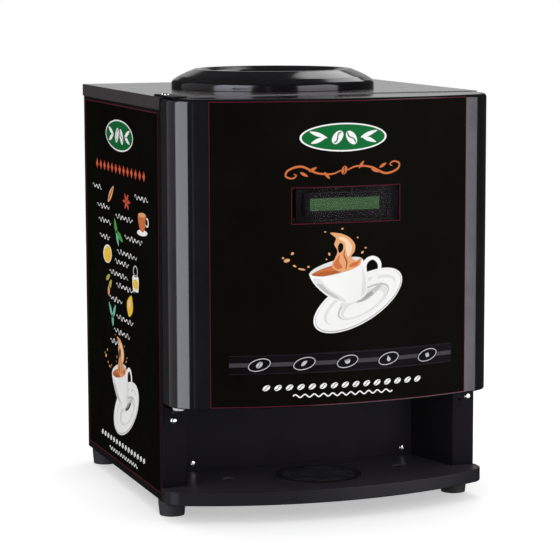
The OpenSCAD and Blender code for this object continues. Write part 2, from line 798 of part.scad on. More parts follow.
module display_module() {
    color("#2f7d3a") at_front() {
        slab(-58, 58, module_y, module_y + 1.6, display_z - 18.5, display_z + 18.5);
        difference() {
            slab(-49, 49, module_y - 8, module_y + eps, display_z - 13, display_z + 13);
            slab(-43, 43, module_y - 9, module_y - 7, display_z - 7.3, display_z + 7.3);
        }
    }
}

module keypad_strip() {
    color("#4c4c50") at_front() difference() {
        bow_sheet(strip_w, key_z - strip_h / 2, key_z + strip_h / 2, film_lift, film_lift + strip_t);
        for (i = [0:4]) on_bow(key_pitch * (i - 2), key_z) oval_block(key_w + 0.5, key_h + 0.5, -6, 6);
    }
}

module keypad_board() {
    color("darkgreen") at_front() {
        slab(-125, 125, board_y, board_y + 1.6, key_z - 12, key_z + 12);
        for (i = [0:4]) {
            x = 0.97 * key_pitch * (i - 2);
            slab(x - 3, x + 3, switch_y, board_y + eps, key_z - 3, key_z + 3);
        }
    }
}

// one key: an oval cap in the strip and a stem down to its switch
module key(i) {
    x = key_pitch * (i - 2);
    a = asin(x / bow_r);
    face = bow_y - bow_r * cos(a);
    stem = (switch_y - key_travel - gap - face) / cos(a) - stem_r * abs(tan(a));
    color("#101010") at_front() on_bow(x, key_z) {
        oval_block(key_w, key_h, -key_proud, 5);
        rod_y(0, 5 - eps, stem, 0, stem_r);
    }
}

module coffee_key() {
    key(0);
}

module tea_key() {
    key(1);
}

module half_cup_key() {
    key(2);
}

module hot_water_key() {
    key(3);
}

module stop_key() {
    key(4);
}

module hinge_bushes() {
    color("white") at_front() {
        difference() {
            union() {
                rod_z(hinge_x, hinge_y, door_z - eps, door_z + 10, bush_r - run);
                rod_z(hinge_x, hinge_y, door_z - 3.7, door_z - gap, 7);
                rod_z(hinge_x, hinge_y, door_z - 1, door_z, bush_r - run);
            }
            rod_z(hinge_x, hinge_y, door_z - 5, door_z + 11, pin_r + run);
        }
        difference() {
            rod_z(hinge_x, hinge_y, door_top - 11, door_top, bush_r - run);
            rod_z(hinge_x, hinge_y, door_top - 14, door_top + 1, pin_r + run);
        }
    }
}

module lock_body() {
    color("silver") at_front() difference() {
        union() {
            rod_x(lock_x - 9, lock_x + eps, lock_y, lock_z, 9.5 - run);
            rod_x(lock_x, lock_x + 2.5, lock_y, lock_z, 12);
            rod_x(lock_x - 8, lock_x - 5 - gap, lock_y, lock_z, 13);
        }
        rod_x(lock_x - 12, lock_x + 4, lock_y, lock_z, 6 + run);
    }
}

// the turning core of the lock with its cam, drawn unlocked
module lock_cylinder() {
    color("gainsboro") at_front() difference() {
        union() {
            rod_x(cam_x, lock_x + 3.5, lock_y, lock_z, 6);
            rod_x(cam_x - 2, cam_x + eps, lock_y, lock_z, 7);
            slab(cam_x - 2, cam_x, lock_y, lock_y + cam_l, lock_z - 5, lock_z + 5);
        }
        slab(lock_x + 1.5, lock_x + 4, lock_y - 1, lock_y + 1, lock_z - 4, lock_z + 4);
    }
}

// ---- drip tray ----

// right half of the tray's plan from its rear to the middle of its bowed front;
// the front part is drawn smaller by inset and the part in the niche by rear_inset
function tray_right(inset, rear_inset) =
    let (
        cx = tray_half - tray_corner,
        bow_c = tray_bow_r - tray_reach,
        cy = bow_c - sqrt(pow(tray_bow_r - tray_corner, 2) - pow(cx, 2)),
        a = atan2(cy - bow_c, cx),
        side = tray_side + rear_inset,
        front = niche_half(2) - tray_gap - rear_inset,
        step = -0.4 - inset
    )
    concat(
        [[niche_half(niche_d) - side, niche_d - 2 - rear_inset], [front, 2]],
        [[front, step], [tray_half - inset, step]],
        arc(cx, cy, tray_corner - inset, 0, a, 8),
        arc(0, bow_c, tray_bow_r - inset, a, -90, 12)
    );

module tray_plan(inset, rear_inset) {
    right = tray_right(inset, rear_inset);
    polygon(concat(right, mirrored(right)));
}

module drip_tray() {
    z0 = floor_z + 0.3;
    color("#18181a") at_front() {
        difference() {
            translate([0, 0, z0]) linear_extrude(cover_z - gap - z0) tray_plan(0, 0);
            translate([0, 0, z0 + 2.2]) linear_extrude(20) tray_plan(tray_wall, tray_wall);
        }
        // raised lip around the front
        intersection() {
            translate([0, 0, cover_z - gap - eps]) linear_extrude(tray_top + 0.2 - cover_z) difference() {
                tray_plan(0, 0);
                tray_plan(1.8, 0);
            }
            slab(-tray_half, tray_half, -tray_reach - 1, -0.4, 0, tray_top + 1);
        }
    }
}

module tray_cover() {
    color("#202024") at_front() difference() {
        translate([0, 0, cover_z]) linear_extrude(3) tray_plan(2.1, 0.2);
        rod_z(0, cup_y, cover_z - 1, cover_z + 4, strainer_r - 3);
        rod_z(0, cup_y, cover_z + 1.4, cover_z + 4, strainer_r + 0.3);
        for (s = [-1, 1]) rod_z(s * finger_x, cup_y + 10, cover_z - 1, cover_z + 4, finger_r);
    }
}

module strainer() {
    z0 = cover_z + 1.6;
    color("#303034") at_front() translate([0, cup_y, 0]) difference() {
        union() {
            translate([0, 0, z0]) cylinder(h = 1.4, r = strainer_r);
            difference() {
                translate([0, 0, z0 - 5]) cylinder(h = 5.2, r = strainer_r - 3.3);
                translate([0, 0, z0 - 6]) cylinder(h = 8, r = strainer_r - 5);
            }
        }
        for (i = [-5:5]) {
            half = sqrt(pow(strainer_r - 8, 2) - pow(8 * i, 2));
            slab(-half, half, 8 * i - 2, 8 * i + 2, z0 - 1, z0 + 2);
        }
    }
}

// ---- bottle seat ----

module bottle_seat() {
    section = concat(
        [[seat_r, 0], [seat_r, 9]],
        arc(seat_r - 3.5, 9, 3.5, 15, 90, 4),
        [[seat_r - 7, 13], [seat_r - 20, 20]],
        arc(seat_rim + 3, seat_h - 2, 2, 75, 90, 2),
        [[seat_rim - 4, seat_h], [seat_rim - 12, seat_h - 4], [58, 2], [38, -16], [neck_r + 1.5, -22],
            [neck_r, -24], [neck_r, -46], [neck_r + 3, -46], [neck_r + 3, -24], [40, -19], [61, -1],
            [seat_rim - 12, 15], [seat_rim, seat_h - 5], [seat_r - 20, seat_h - 7], [seat_r - 8, 9],
            [seat_r - 3.5, 8], [seat_r - 3.5, 0]]
    );
    color("#141416") at_front() translate([0, seat_y, top_z]) rotate_extrude($fn = 96) {
        polygon(section);
        // locating ring in the cover's hole
        translate([seat_hole - 3.4, -4]) square([3, 23]);
    }
}

// ---- powder lanes ----

function canister_section(inset) =
    let (half = canister_w / 2 - inset)
    [[-half, canister_top], [-half, canister_z + 44], [-14.5 + inset * 0.4, auger_z - (inset > 0 ? 0 : 14)],
        [14.5 - inset * 0.4, auger_z - (inset > 0 ? 0 : 14)], [half, canister_z + 44], [half, canister_top]];

module canister(s) {
    y1 = panel_y - 4;
    translate([s * lane_x, 0, 0]) difference() {
        union() {
            translate([0, y1, 0]) rotate([90, 0, 0]) linear_extrude(y1 - canister_front)
                polygon(canister_section(0));
            slab(-17, 17, canister_front, y1, canister_z, auger_z);
            rod_z(0, spout_y, canister_z - 17, canister_z + 8, 12.5);
        }
        // hopper, trough and powder outlet
        translate([0, y1 - canister_wall, 0]) rotate([90, 0, 0])
            linear_extrude(y1 - canister_front - 2 * canister_wall) difference() {
                polygon([for (p = canister_section(canister_wall)) [p[0], p[1] + (p[1] == canister_top ? 1 : 0)]]);
            }
        rod_y(0, canister_front + canister_wall, y1 - canister_wall, auger_z, 13.5);
        rod_z(0, spout_y, canister_z - 18, auger_z, 10);
        rod_y(0, y1 - 5, y1 + 1, auger_z, 6 + run);
    }
}

module canister_lid(s) {
    half = canister_w / 2;
    y1 = panel_y - 4;
    translate([s * lane_x, 0, 0]) difference() {
        union() {
            slab(-half - 2.2, half + 2.2, canister_front - 2.2, y1 + 2.2, canister_top - 8, canister_top + 2.3);
            slab(-20, 20, (canister_front + y1) / 2 - 5, (canister_front + y1) / 2 + 5,
                canister_top + 2, canister_top + 9);
        }
        slab(-half - 0.3, half + 0.3, canister_front - 0.3, y1 + 0.3, canister_top - 9, canister_top + 0.2);
    }
}

// twisted ribbon with a journal in the canister's wall and a drive pin behind it
module auger(s) {
    y1 = panel_y - 4;
    translate([s * lane_x, 0, auger_z]) {
        translate([0, canister_front + 6, 0]) rotate([-90, 0, 0])
            linear_extrude(y1 - canister_front - 11, twist = -360 * 4, slices = 64, $fn = 8)
                square([2 * auger_r, 2.4], center = true);
        rod_y(0, canister_front + 4, y1 - 3.5, 0, 3);
        rod_y(0, y1 - 5 - eps, y1 + 1, 0, 6);
        rod_y(0, y1 + 1 - eps, panel_y + 18, 0, 4);
    }
}

module mixing_bowl(s) {
    y1 = whip_y - 0.3;
    translate([s * lane_x, 0, 0]) difference() {
        union() {
            translate([0, 0, whisk_z + 16]) cylinder(h = bowl_top - whisk_z - 16, r1 = 17, r2 = bowl_r);
            rod_z(0, 0, whisk_z, whisk_z + 17, 17);
            rod_y(0, -20, y1, whisk_z, 24);
            rod_y(0, y1 - 4, y1, whisk_z, 30);
            rod_z(0, -10, whisk_z - 31, whisk_z - 15, 6);
        }
        translate([0, 0, whisk_z + 16]) cylinder(h = bowl_top - whisk_z - 16 + 0.2, r1 = 15, r2 = bowl_r - 2);
        rod_z(0, 0, whisk_z, whisk_z + 17, 15);
        rod_y(0, -18, y1 + 1, whisk_z, 22);
        rod_z(0, -10, whisk_z - 32, whisk_z - 12, 4);
    }
}

module whisk(s) {
    translate([s * lane_x, 0, whisk_z]) {
        rod_y(0, -8, whip_y + 32, 0, 3);
        rod_y(0, -8, -6, 0, 17);
        for (i = [0:5]) rotate([0, 60 * i, 0]) slab(6, 16, -6 - eps, 4, -0.8, 0.8);
    }
}

// outlet hose of one lane, from the bowl's spigot to the nozzle bracket
module product_hose(s) {
    route = [
        [s * lane_x, -10, whisk_z - 31.2], [s * lane_x, -10, whisk_z - 44], [s * (lane_x - 12), -6, ceiling_z + 20],
        [s * (lane_x - 40), 6, ceiling_z + 18], [s * (hose_x + 6), cup_y, ceiling_z + 22],
        [s * hose_x, cup_y, ceiling_z + 18], [s * hose_x, cup_y, ceiling_z + 6], [s * hose_x, cup_y, door_z + 6]
    ];
    hose(route, 4.1);
}

module left_canister() {
    color("whitesmoke", 0.7) at_front() canister(-1);
}

module right_canister() {
    color("whitesmoke", 0.7) at_front() canister(1);
}

module left_canister_lid() {
    color("#1a1a1a") at_front() canister_lid(-1);
}

module right_canister_lid() {
    color("#1a1a1a") at_front() canister_lid(1);
}

module left_auger() {
    color("white") at_front() auger(-1);
}

module right_auger() {
    color("white") at_front() auger(1);
}

module left_mixing_bowl() {
    color("#7a4a2a", 0.8) at_front() mixing_bowl(-1);
}

module right_mixing_bowl() {
    color("#7a4a2a", 0.8) at_front() mixing_bowl(1);
}

module left_whisk() {
    color("white") at_front() whisk(-1);
}

module right_whisk() {
    color("white") at_front() whisk(1);
}

module left_product_hose() {
    color("white", 0.8) at_front() product_hose(-1);
}

module right_product_hose() {
    color("white", 0.8) at_front() product_hose(1);
}

base_pan();
left_side_panel();
right_side_panel();
rear_panel();
top_cover();
side_films();
rubber_feet();
screws();
niche_liner();
niche_ceiling();
whipper_panel();
canister_shelf();
motor_panel();
hinge_brackets();
lock_strike();
auger_motors();
whipper_motors();
nozzle_bracket();
water_spouts();
boiler();
cold_tank();
solenoid_valves();
water_hoses();
power_supply();
control_board();
fan_frame();
power_inlet();
door_shell();
door_inner_panel();
front_film();
display_window();
display_module();
keypad_strip();
keypad_board();
hinge_bushes();
lock_body();
lock_cylinder();
coffee_key();
tea_key();
half_cup_key();
hot_water_key();
stop_key();
drip_tray();
tray_cover();
strainer();
bottle_seat();
left_canister();
right_canister();
left_canister_lid();
right_canister_lid();
left_auger();
right_auger();
left_mixing_bowl();
right_mixing_bowl();
left_whisk();
right_whisk();
left_product_hose();
right_product_hose();
fan_rotor();
power_rocker();
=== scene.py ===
"""Looks of the table-top hot coffee vending machine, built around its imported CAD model.

Lengths in this script are millimetres measured from the cabinet's front plane, as in the CAD source;
piece() turns them into the frame's metres.
"""
import json
from math import asin, atan2, cos, floor, pi, radians, sin, sqrt, tan

import bmesh
import bpy
from mathutils import Matrix, Vector
from mathutils.geometry import tessellate_polygon


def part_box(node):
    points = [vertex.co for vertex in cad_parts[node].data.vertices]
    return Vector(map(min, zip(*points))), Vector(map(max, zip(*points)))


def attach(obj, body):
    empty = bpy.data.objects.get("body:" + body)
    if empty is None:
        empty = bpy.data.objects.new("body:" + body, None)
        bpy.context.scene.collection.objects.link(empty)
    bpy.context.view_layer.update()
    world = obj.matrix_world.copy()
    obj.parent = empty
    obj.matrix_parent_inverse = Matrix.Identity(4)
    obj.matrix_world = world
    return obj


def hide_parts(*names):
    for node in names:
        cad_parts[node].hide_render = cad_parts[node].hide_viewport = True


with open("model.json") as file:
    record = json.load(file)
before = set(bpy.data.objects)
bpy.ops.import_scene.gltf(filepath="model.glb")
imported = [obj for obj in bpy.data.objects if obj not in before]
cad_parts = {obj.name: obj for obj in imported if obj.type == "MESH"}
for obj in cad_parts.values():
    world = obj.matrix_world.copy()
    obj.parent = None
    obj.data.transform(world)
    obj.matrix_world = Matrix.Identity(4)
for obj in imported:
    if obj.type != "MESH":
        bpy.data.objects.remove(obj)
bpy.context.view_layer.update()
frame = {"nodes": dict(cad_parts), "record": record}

# ---- sizes

MM = 0.001
FRONT_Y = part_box("left_side_panel")[0].y / MM


def local_box(node):
    """Lowest and highest corner of a CAD node in millimetres from the cabinet's front plane."""
    lo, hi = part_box(node)
    shift = Vector((0, FRONT_Y, 0))
    return lo / MM - shift, hi / MM - shift


panel_hi = local_box("left_side_panel")[1]
door_lo, door_hi = local_box("door_shell")
film_lo, film_hi = local_box("front_film")
strip_lo, strip_hi = local_box("keypad_strip")
window_lo, window_hi = local_box("display_window")
module_lo = local_box("display_module")[0]
tray_lo, tray_hi = local_box("drip_tray")
cover_lo, cover_hi = local_box("tray_cover")
seat_lo, seat_hi = local_box("bottle_seat")
side_lo, side_hi = local_box("side_films")
lock_lo, lock_hi = local_box("lock_body")

BODY_HALF = door_hi.x
DOOR_Z = door_lo.z
DOOR_TOP = door_hi.z
FILM_HALF = film_hi.x
KEY_Z = (strip_lo.z + strip_hi.z) / 2
DISPLAY_Z = (window_lo.z + window_hi.z) / 2
TOP_Z = local_box("top_cover")[1].z
SEAT_Y = (seat_lo.y + seat_hi.y) / 2

DOOR_GAP = 3.0
DOOR_REACH = 61.0
DOOR_BOW = 25.0
DOOR_CORNER = 34.0
DOOR_WALL = 3.0
DOOR_TOP_ROUND = 5.0
DOOR_FOOT_ROUND = 1.6
DISPLAY_W = 133.0
DISPLAY_H = 41.0
STRIP_W = 279.0
KEY_PITCH = 52.5
KEY_W = 28.5
KEY_H = 15.5
KEY_GAP = 0.5
KEY_TILT = radians(14)
KEY_PROUD = 1.2
FILM_FACE = 0.30
STRIP_FACE = 0.55
INK_THICK = 0.045
LAYER_STEP = 0.05
ON_SHEET = 0.01
HINGE_X = -(BODY_HALF - 11)
HINGE_Y = -30.0
LOCK_X = BODY_HALF - 7
LOCK_Y = -22.0
LOCK_Z = (lock_lo.z + lock_hi.z) / 2
TRAY_REACH = 72.0
TRAY_BOW_R = 467.0
TRAY_CORNER = 22.0
TRAY_FACE_Y = -0.4
NICHE_D = 82.0
NICHE_BACK = 151.0
NICHE_FRONT = BODY_HALF - 27.5 - 0.2
CUP_Y = 12.0
FOOT_BOLT = 12.0
STRAINER_R = 52.4
FINGER_X = 111.0
FINGER_R = 9.0
SEAT_R = 127.7
SEAT_RIM = 96.0
SEAT_H = 23.5
NECK_R = 28.5

BOW_R = (FILM_HALF ** 2 + DOOR_BOW ** 2) / (2 * DOOR_BOW)
BOW_A = asin(FILM_HALF / BOW_R)
BOW_C = BOW_R - DOOR_REACH - DOOR_BOW
CORNER_X = BODY_HALF - DOOR_CORNER
RUN_IN = CORNER_X + DOOR_CORNER * sin(BOW_A) - FILM_HALF
CORNER_Y = DOOR_CORNER * cos(BOW_A) + RUN_IN * tan(BOW_A) - DOOR_REACH

# ---- materials

DUST = (0.35, 0.34, 0.32)
WEAR_WIDTH = 0.0011


def add(tree, kind, inputs, out=0, **settings):
    """A node with its settings and inputs, which are values or other nodes' outputs. Gives one output."""
    node = tree.nodes.new(kind)
    for key, value in settings.items():
        setattr(node, key, value)
    for key, value in inputs.items():
        if isinstance(value, bpy.types.NodeSocket):
            tree.links.new(value, node.inputs[key])
        else:
            node.inputs[key].default_value = value
    return node.outputs[out]


def noise(tree, coord, scale, detail=4.0, rough=0.55, stretch=None):
    """A noise texture in object space, in features per metre, stretched along an axis if asked."""
    if stretch:
        coord = add(tree, "ShaderNodeMapping", {"Vector": coord, "Scale": stretch}, "Vector")
    values = {"Vector": coord, "Scale": scale, "Detail": detail, "Roughness": rough}
    return add(tree, "ShaderNodeTexNoise", values, "Fac")


def ramp(tree, fac, low, high, a, b):
    values = {"Value": fac, "From Min": low, "From Max": high, "To Min": a, "To Max": b}
    return add(tree, "ShaderNodeMapRange", values, "Result")


def blend_colour(tree, fac, a, b):
    a, b = ((*c, 1) if isinstance(c, tuple) else c for c in (a, b))
    return add(tree, "ShaderNodeMix", {"Factor": fac, 6: a, 7: b}, 2, data_type="RGBA")


def times(tree, a, b):
    return add(tree, "ShaderNodeMath", {0: a, 1: b}, operation="MULTIPLY")


def edge_mask(tree):
    """1 on convex and concave edges, 0 on open faces."""
    rounded = add(tree, "ShaderNodeBevel", {"Radius": WEAR_WIDTH}, samples=4)
    normal = add(tree, "ShaderNodeNewGeometry", {}, "Normal")
    dot = add(tree, "ShaderNodeVectorMath", {0: rounded, 1: normal}, "Value", operation="DOT_PRODUCT")
    return ramp(tree, dot, 0.99, 0.86, 0, 1)


def surface(name, colour, rough, grain=900, depth=0.00004, bump=0.25, mottle=0.12, spread=0.06, edge=0.0,
            wear_and_highlight_colour=None, stretch=None, dust=0.0, **sockets):
    """One procedural finish: mottled colour, uneven gloss, fine relief, edges in another colour (rubbed wear, and on
    the tray and strainer finishes a painted edge highlight) and settled dust.
    """
    mat = bpy.data.materials.new(name)
    mat.use_nodes = True
    tree = mat.node_tree
    inputs = tree.nodes["Principled BSDF"].inputs
    coord = add(tree, "ShaderNodeTexCoord", {}, "Object")
    fine = noise(tree, coord, grain, 5, 0.6, stretch)
    light = tuple(min(1, c * (1 + mottle) + 0.0006) for c in colour)
    dark = tuple(c * (1 - mottle) for c in colour)
    base = blend_colour(tree, ramp(tree, noise(tree, coord, 14, 3), 0.35, 0.65, 0, 1), dark, light)
    base = blend_colour(tree, ramp(tree, fine, 0.45, 0.75, 0, 0.5), base, light)
    # Edges take another colour: rubbed wear on most finishes, a painted edge highlight on the tray's and the
    # strainer's.
    if edge:
        wear_and_highlight = wear_and_highlight_colour or tuple(min(1, c * 1.6 + 0.02) for c in colour)
        patches = ramp(tree, noise(tree, coord, 60), 0.4, 0.62, 0, edge)
        base = blend_colour(tree, times(tree, edge_mask(tree), patches), base, wear_and_highlight)
    if dust:
        normal = add(tree, "ShaderNodeNewGeometry", {}, "Normal")
        up = add(tree, "ShaderNodeSeparateXYZ", {0: normal}, "Z")
        specks = ramp(tree, noise(tree, coord, 320, 6, 0.7), 0.5, 0.7, 0, 1)
        base = blend_colour(tree, times(tree, ramp(tree, up, 0.6, 1, 0, dust), specks), base, DUST)
    smudge = noise(tree, coord, 38, 6, 0.65)
    gloss = ramp(tree, smudge, 0.3, 0.7, max(0.02, rough - spread), rough + spread)
    grains = add(tree, "ShaderNodeBump", {"Strength": bump, "Distance": depth, "Height": fine}, "Normal")
    for key, socket in (("Base Color", base), ("Roughness", gloss), ("Normal", grains)):
        tree.links.new(socket, inputs[key])
    for key, value in sockets.items():
        inputs[key.replace("_", " ")].default_value = value
    return mat


FINISH = {
    "black_gloss": surface("abs_gloss_black", (0.0055, 0.005, 0.0062), 0.1, grain=260, depth=0.00002, bump=0.03,
                           spread=0.035, edge=0.25),
    "black_coat": surface("powder_coat_black", (0.0075, 0.0065, 0.008), 0.34, grain=1500, depth=0.00005, bump=0.2,
                          edge=0.4, IOR=1.1),
    "cover_coat": surface("powder_coat_charcoal", (0.046, 0.04, 0.042), 0.2, grain=1500, depth=0.00003, bump=0.03,
                          edge=0.4, spread=0.04, Coat_Weight=0.6, Coat_Roughness=0.12),
    "inner_coat": surface("inner_coat_grey", (0.55, 0.55, 0.53), 0.42, grain=1300, bump=0.2, edge=0.3,
                          wear_and_highlight_colour=(0.3, 0.3, 0.29)),
    "zinc": surface("zinc_sheet", (0.5, 0.5, 0.49), 0.34, grain=420, bump=0.12, mottle=0.16, spread=0.12,
                    Metallic=1.0),
    "film": surface("vinyl_film_black", (0.0032, 0.0029, 0.0019), 0.42, grain=2200, depth=0.00002, bump=0.12,
                    spread=0.05, IOR=1.05),
    "rubber": surface("foot_rubber", (0.014, 0.013, 0.013), 0.75, grain=1100, depth=0.00015, bump=0.5, dust=0.1),
    "bright": surface("bright_plate", (0.82, 0.81, 0.79), 0.14, grain=700, bump=0.08, mottle=0.06, spread=0.06,
                      Metallic=1.0),
    "motor": surface("motor_enamel", (0.05, 0.05, 0.055), 0.38, grain=900, bump=0.2, edge=0.5),
    "stainless": surface("brushed_stainless", (0.6, 0.59, 0.57), 0.26, grain=700, bump=0.2, stretch=(1, 1, 0.03),
                         Metallic=1.0),
    "brass": surface("machined_brass", (0.72, 0.5, 0.2), 0.24, grain=800, bump=0.15, Metallic=1.0),
    "natural": surface("natural_polypropylene", (0.78, 0.77, 0.7), 0.36, grain=500, bump=0.15, mottle=0.05,
                       Transmission_Weight=0.45, IOR=1.42),
    "silicone": surface("silicone_hose", (0.8, 0.79, 0.75), 0.32, grain=600, bump=0.2, mottle=0.05,
                        Transmission_Weight=0.35, IOR=1.41),
    "board": surface("solder_mask_green", (0.015, 0.13, 0.05), 0.3, grain=650, bump=0.3, mottle=0.25),
    "dark_plastic": surface("fine_texture_black", (0.02, 0.019, 0.021), 0.46, grain=1300, depth=0.00012, bump=0.45,
                            edge=0.3),
    "strip": surface("key_membrane_black", (0.0045, 0.0036, 0.0052), 0.36, grain=1800, bump=0.06, IOR=1.08),
    "brown": surface("brown_translucent", (0.16, 0.07, 0.03), 0.34, grain=500, bump=0.15, Transmission_Weight=0.25),
    "white": surface("white_moulding", (0.8, 0.8, 0.77), 0.33, grain=700, bump=0.15, mottle=0.04, edge=0.2,
                     wear_and_highlight_colour=(0.6, 0.6, 0.58)),
    "red": surface("red_translucent", (0.45, 0.015, 0.012), 0.2, grain=500, bump=0.1, Transmission_Weight=0.2),
    "window": surface("smoked_window", (0.62, 0.6, 0.62), 0.06, grain=500, bump=0.04, mottle=0.05, spread=0.02,
                      Transmission_Weight=1.0, IOR=1.08),
    "display": surface("display_bezel", (0.0075, 0.0065, 0.007), 0.45, grain=1200, bump=0.3, IOR=1.2),
}
# The tray's lighter edge colour is a painted edge highlight along its lips, not wear.
TRAY_FINISH = surface("abs_satin_black", (0.016, 0.015, 0.018), 0.3, grain=900, depth=0.00005, bump=0.15, edge=0.8,
                      wear_and_highlight_colour=(0.085, 0.08, 0.095), spread=0.04, IOR=1.18)
COVER_FINISH = surface("abs_satin_grey_black", (0.05, 0.045, 0.056), 0.36, grain=900, depth=0.00004, bump=0.1,
                       edge=0.5, spread=0.03, IOR=1.25)
NICHE_FINISH = surface("niche_coat_black", (0.011, 0.0095, 0.0115), 0.42, grain=1500, depth=0.00006, bump=0.3,
                       edge=0.4, Specular_IOR_Level=0.06)
# The strainer's light edge colour is a painted glint on its slot and rim edges, not wear.
STRAINER_FINISH = surface("strainer_gloss_black", (0.007, 0.0065, 0.008), 0.2, grain=700, depth=0.00004, bump=0.2,
                          edge=0.95, wear_and_highlight_colour=(0.1, 0.095, 0.11))
SEAT_FINISH = surface("seat_gloss_black", (0.006, 0.0055, 0.0068), 0.13, grain=300, depth=0.00003, bump=0.12,
                      spread=0.05, edge=0.2, dust=0.03)


def lit_panel(name, colour, **glow):
    """One of the display's two greens."""
    return surface(name, colour, 0.5, grain=1500, bump=0.05, IOR=1.2, **glow)


def backlight():
    """The display's green panel, lit a little unevenly."""
    mat = lit_panel("display_backlight", (0.03, 0.075, 0.028), Emission_Strength=0.85)
    tree = mat.node_tree
    coord = add(tree, "ShaderNodeTexCoord", {}, "Object")
    patches = ramp(tree, noise(tree, coord, 45, 2), 0.35, 0.65, 0, 1)
    glow = blend_colour(tree, patches, (0.05, 0.125, 0.045), (0.062, 0.15, 0.053))
    tree.links.new(glow, tree.nodes["Principled BSDF"].inputs["Emission Color"])
    return mat


# Screen-printed inks on vinyl.
INK = {name: surface("ink_" + name, colour, 0.4, grain=1600, depth=0.00002, bump=0.15, mottle=0.03, IOR=1.1)
       for name, colour in {
           "white": (0.86, 0.86, 0.85), "pearl": (0.72, 0.72, 0.71), "mist": (0.52, 0.52, 0.52),
           "shade": (0.36, 0.35, 0.35), "grey": (0.05, 0.047, 0.052), "dim": (0.018, 0.017, 0.019),
           "green": (0.003, 0.13, 0.03), "leaf": (0.07, 0.32, 0.06), "teal": (0.16, 0.5, 0.36),
           "orange": (0.6, 0.155, 0.05), "latte": (0.74, 0.36, 0.17), "cream": (0.86, 0.6, 0.4),
           "coffee": (0.42, 0.11, 0.03), "brown": (0.2, 0.055, 0.02), "yellow": (0.85, 0.52, 0.05),
           "olive": (0.42, 0.38, 0.08), "maroon": (0.1, 0.009, 0.024), "red": (0.55, 0.075, 0.035),
       }.items()}

# ---- mesh helpers


def arc(cx, cy, r, a0, a1, n):
    """Points on an arc, angles in radians."""
    return [(cx + r * cos(a0 + (a1 - a0) * i / n), cy + r * sin(a0 + (a1 - a0) * i / n))
            for i in range(n + 1)]


def loft(rings, closed=False):
    """A solid through rings of points; the ends are capped, or joined if closed."""
    bm = bmesh.new()
    rows = [[bm.verts.new(p) for p in ring] for ring in rings]
    n = len(rings[0])
    pairs = list(zip(rows, rows[1:])) + ([(rows[-1], rows[0])] if closed else [])
    for a, b in pairs:
        for i in range(n):
            j = (i + 1) % n
            bm.faces.new((a[i], a[j], b[j], b[i]))
    if not closed:
        bm.faces.new(list(reversed(rows[0])))
        bm.faces.new(rows[-1])
    return bm


def block(x0, x1, y0, y1, z0, z1):
    return loft([[(x0, y0, z), (x1, y0, z), (x1, y1, z), (x0, y1, z)] for z in (z0, z1)])


def rod(start, end, r, n=48, r_end=None):
    """A round bar between two points."""
    a, b = Vector(start), Vector(end)
    along = (b - a).normalized()
    u = along.orthogonal().normalized()
    v = along.cross(u)
    return loft([[p + q * (cos(2 * pi * k / n) * u + sin(2 * pi * k / n) * v) for k in range(n)]
                 for p, q in ((a, r), (b, r if r_end is None else r_end))])


def lathe(section, cx, cy, n=128):
    """A ring turned from a closed section of (radius, height) points."""
    rings = []
    for k in range(n):
        a = 2 * pi * k / n
        rings.append([(cx + r * cos(a), cy + r * sin(a), z) for r, z in section])
    return loft(rings, closed=True)


def round_corners(points, radii, n=5):
    """A closed outline with each corner replaced by an arc of its own radius."""
    out = []
    count = len(points)
    for i in range(count):
        p = Vector(points[i])
        a, b = Vector(points[i - 1]) - p, Vector(points[(i + 1) % count]) - p
        r = radii[i] if isinstance(radii, list) else radii
        half = a.angle(b) / 2
        if half > radians(88):
            out.append(tuple(p))
            continue
        reach = min(r / tan(half), a.length * 0.45, b.length * 0.45)
        s, e = p + a.normalized() * reach, p + b.normalized() * reach
        for k in range(n + 1):
            t = k / n
            out.append(tuple((1 - t) ** 2 * s + 2 * t * (1 - t) * p + t * t * e))
    return out


def new_object(name, data):
    ob = bpy.data.objects.new(name, data)
    bpy.context.scene.collection.objects.link(ob)
    return ob


def as_mesh(bm, name="scratch"):
    """The bmesh as a mesh; the bmesh goes."""
    mesh = bpy.data.meshes.new(name)
    bm.to_mesh(mesh)
    bm.free()
    return mesh


def as_object(bm):
    bmesh.ops.recalc_face_normals(bm, faces=bm.faces)
    return new_object("scratch", as_mesh(bm))


def evaluated(ob):
    """The object's mesh after its modifiers, as bmesh; the object goes."""
    bpy.context.view_layer.update()
    graph = bpy.context.evaluated_depsgraph_get()
    mesh = bpy.data.meshes.new_from_object(ob.evaluated_get(graph))
    bpy.data.objects.remove(ob)
    return join([mesh])


def carve(base, cutters):
    """base with solids cut away."""
    ob = as_object(base)
    tools = [as_object(c) for c in cutters]
    for tool in tools:
        m = ob.modifiers.new("cut", "BOOLEAN")
        m.object, m.operation, m.solver = tool, "DIFFERENCE", "EXACT"
    bm = evaluated(ob)
    for tool in tools:
        bpy.data.objects.remove(tool)
    bmesh.ops.remove_doubles(bm, verts=bm.verts, dist=0.0005)
    return bm


def bevel_edges(bm, width):
    """Rounds every edge sharper than 35 degrees."""
    bmesh.ops.dissolve_limit(bm, angle_limit=radians(0.8), verts=bm.verts, edges=bm.edges)
    ob = as_object(bm)
    m = ob.modifiers.new("round", "BEVEL")
    m.width, m.segments, m.limit_method = width, 2, "ANGLE"
    m.angle_limit = radians(35)
    m.use_clamp_overlap = True
    m.miter_outer = "MITER_ARC"
    return evaluated(ob)


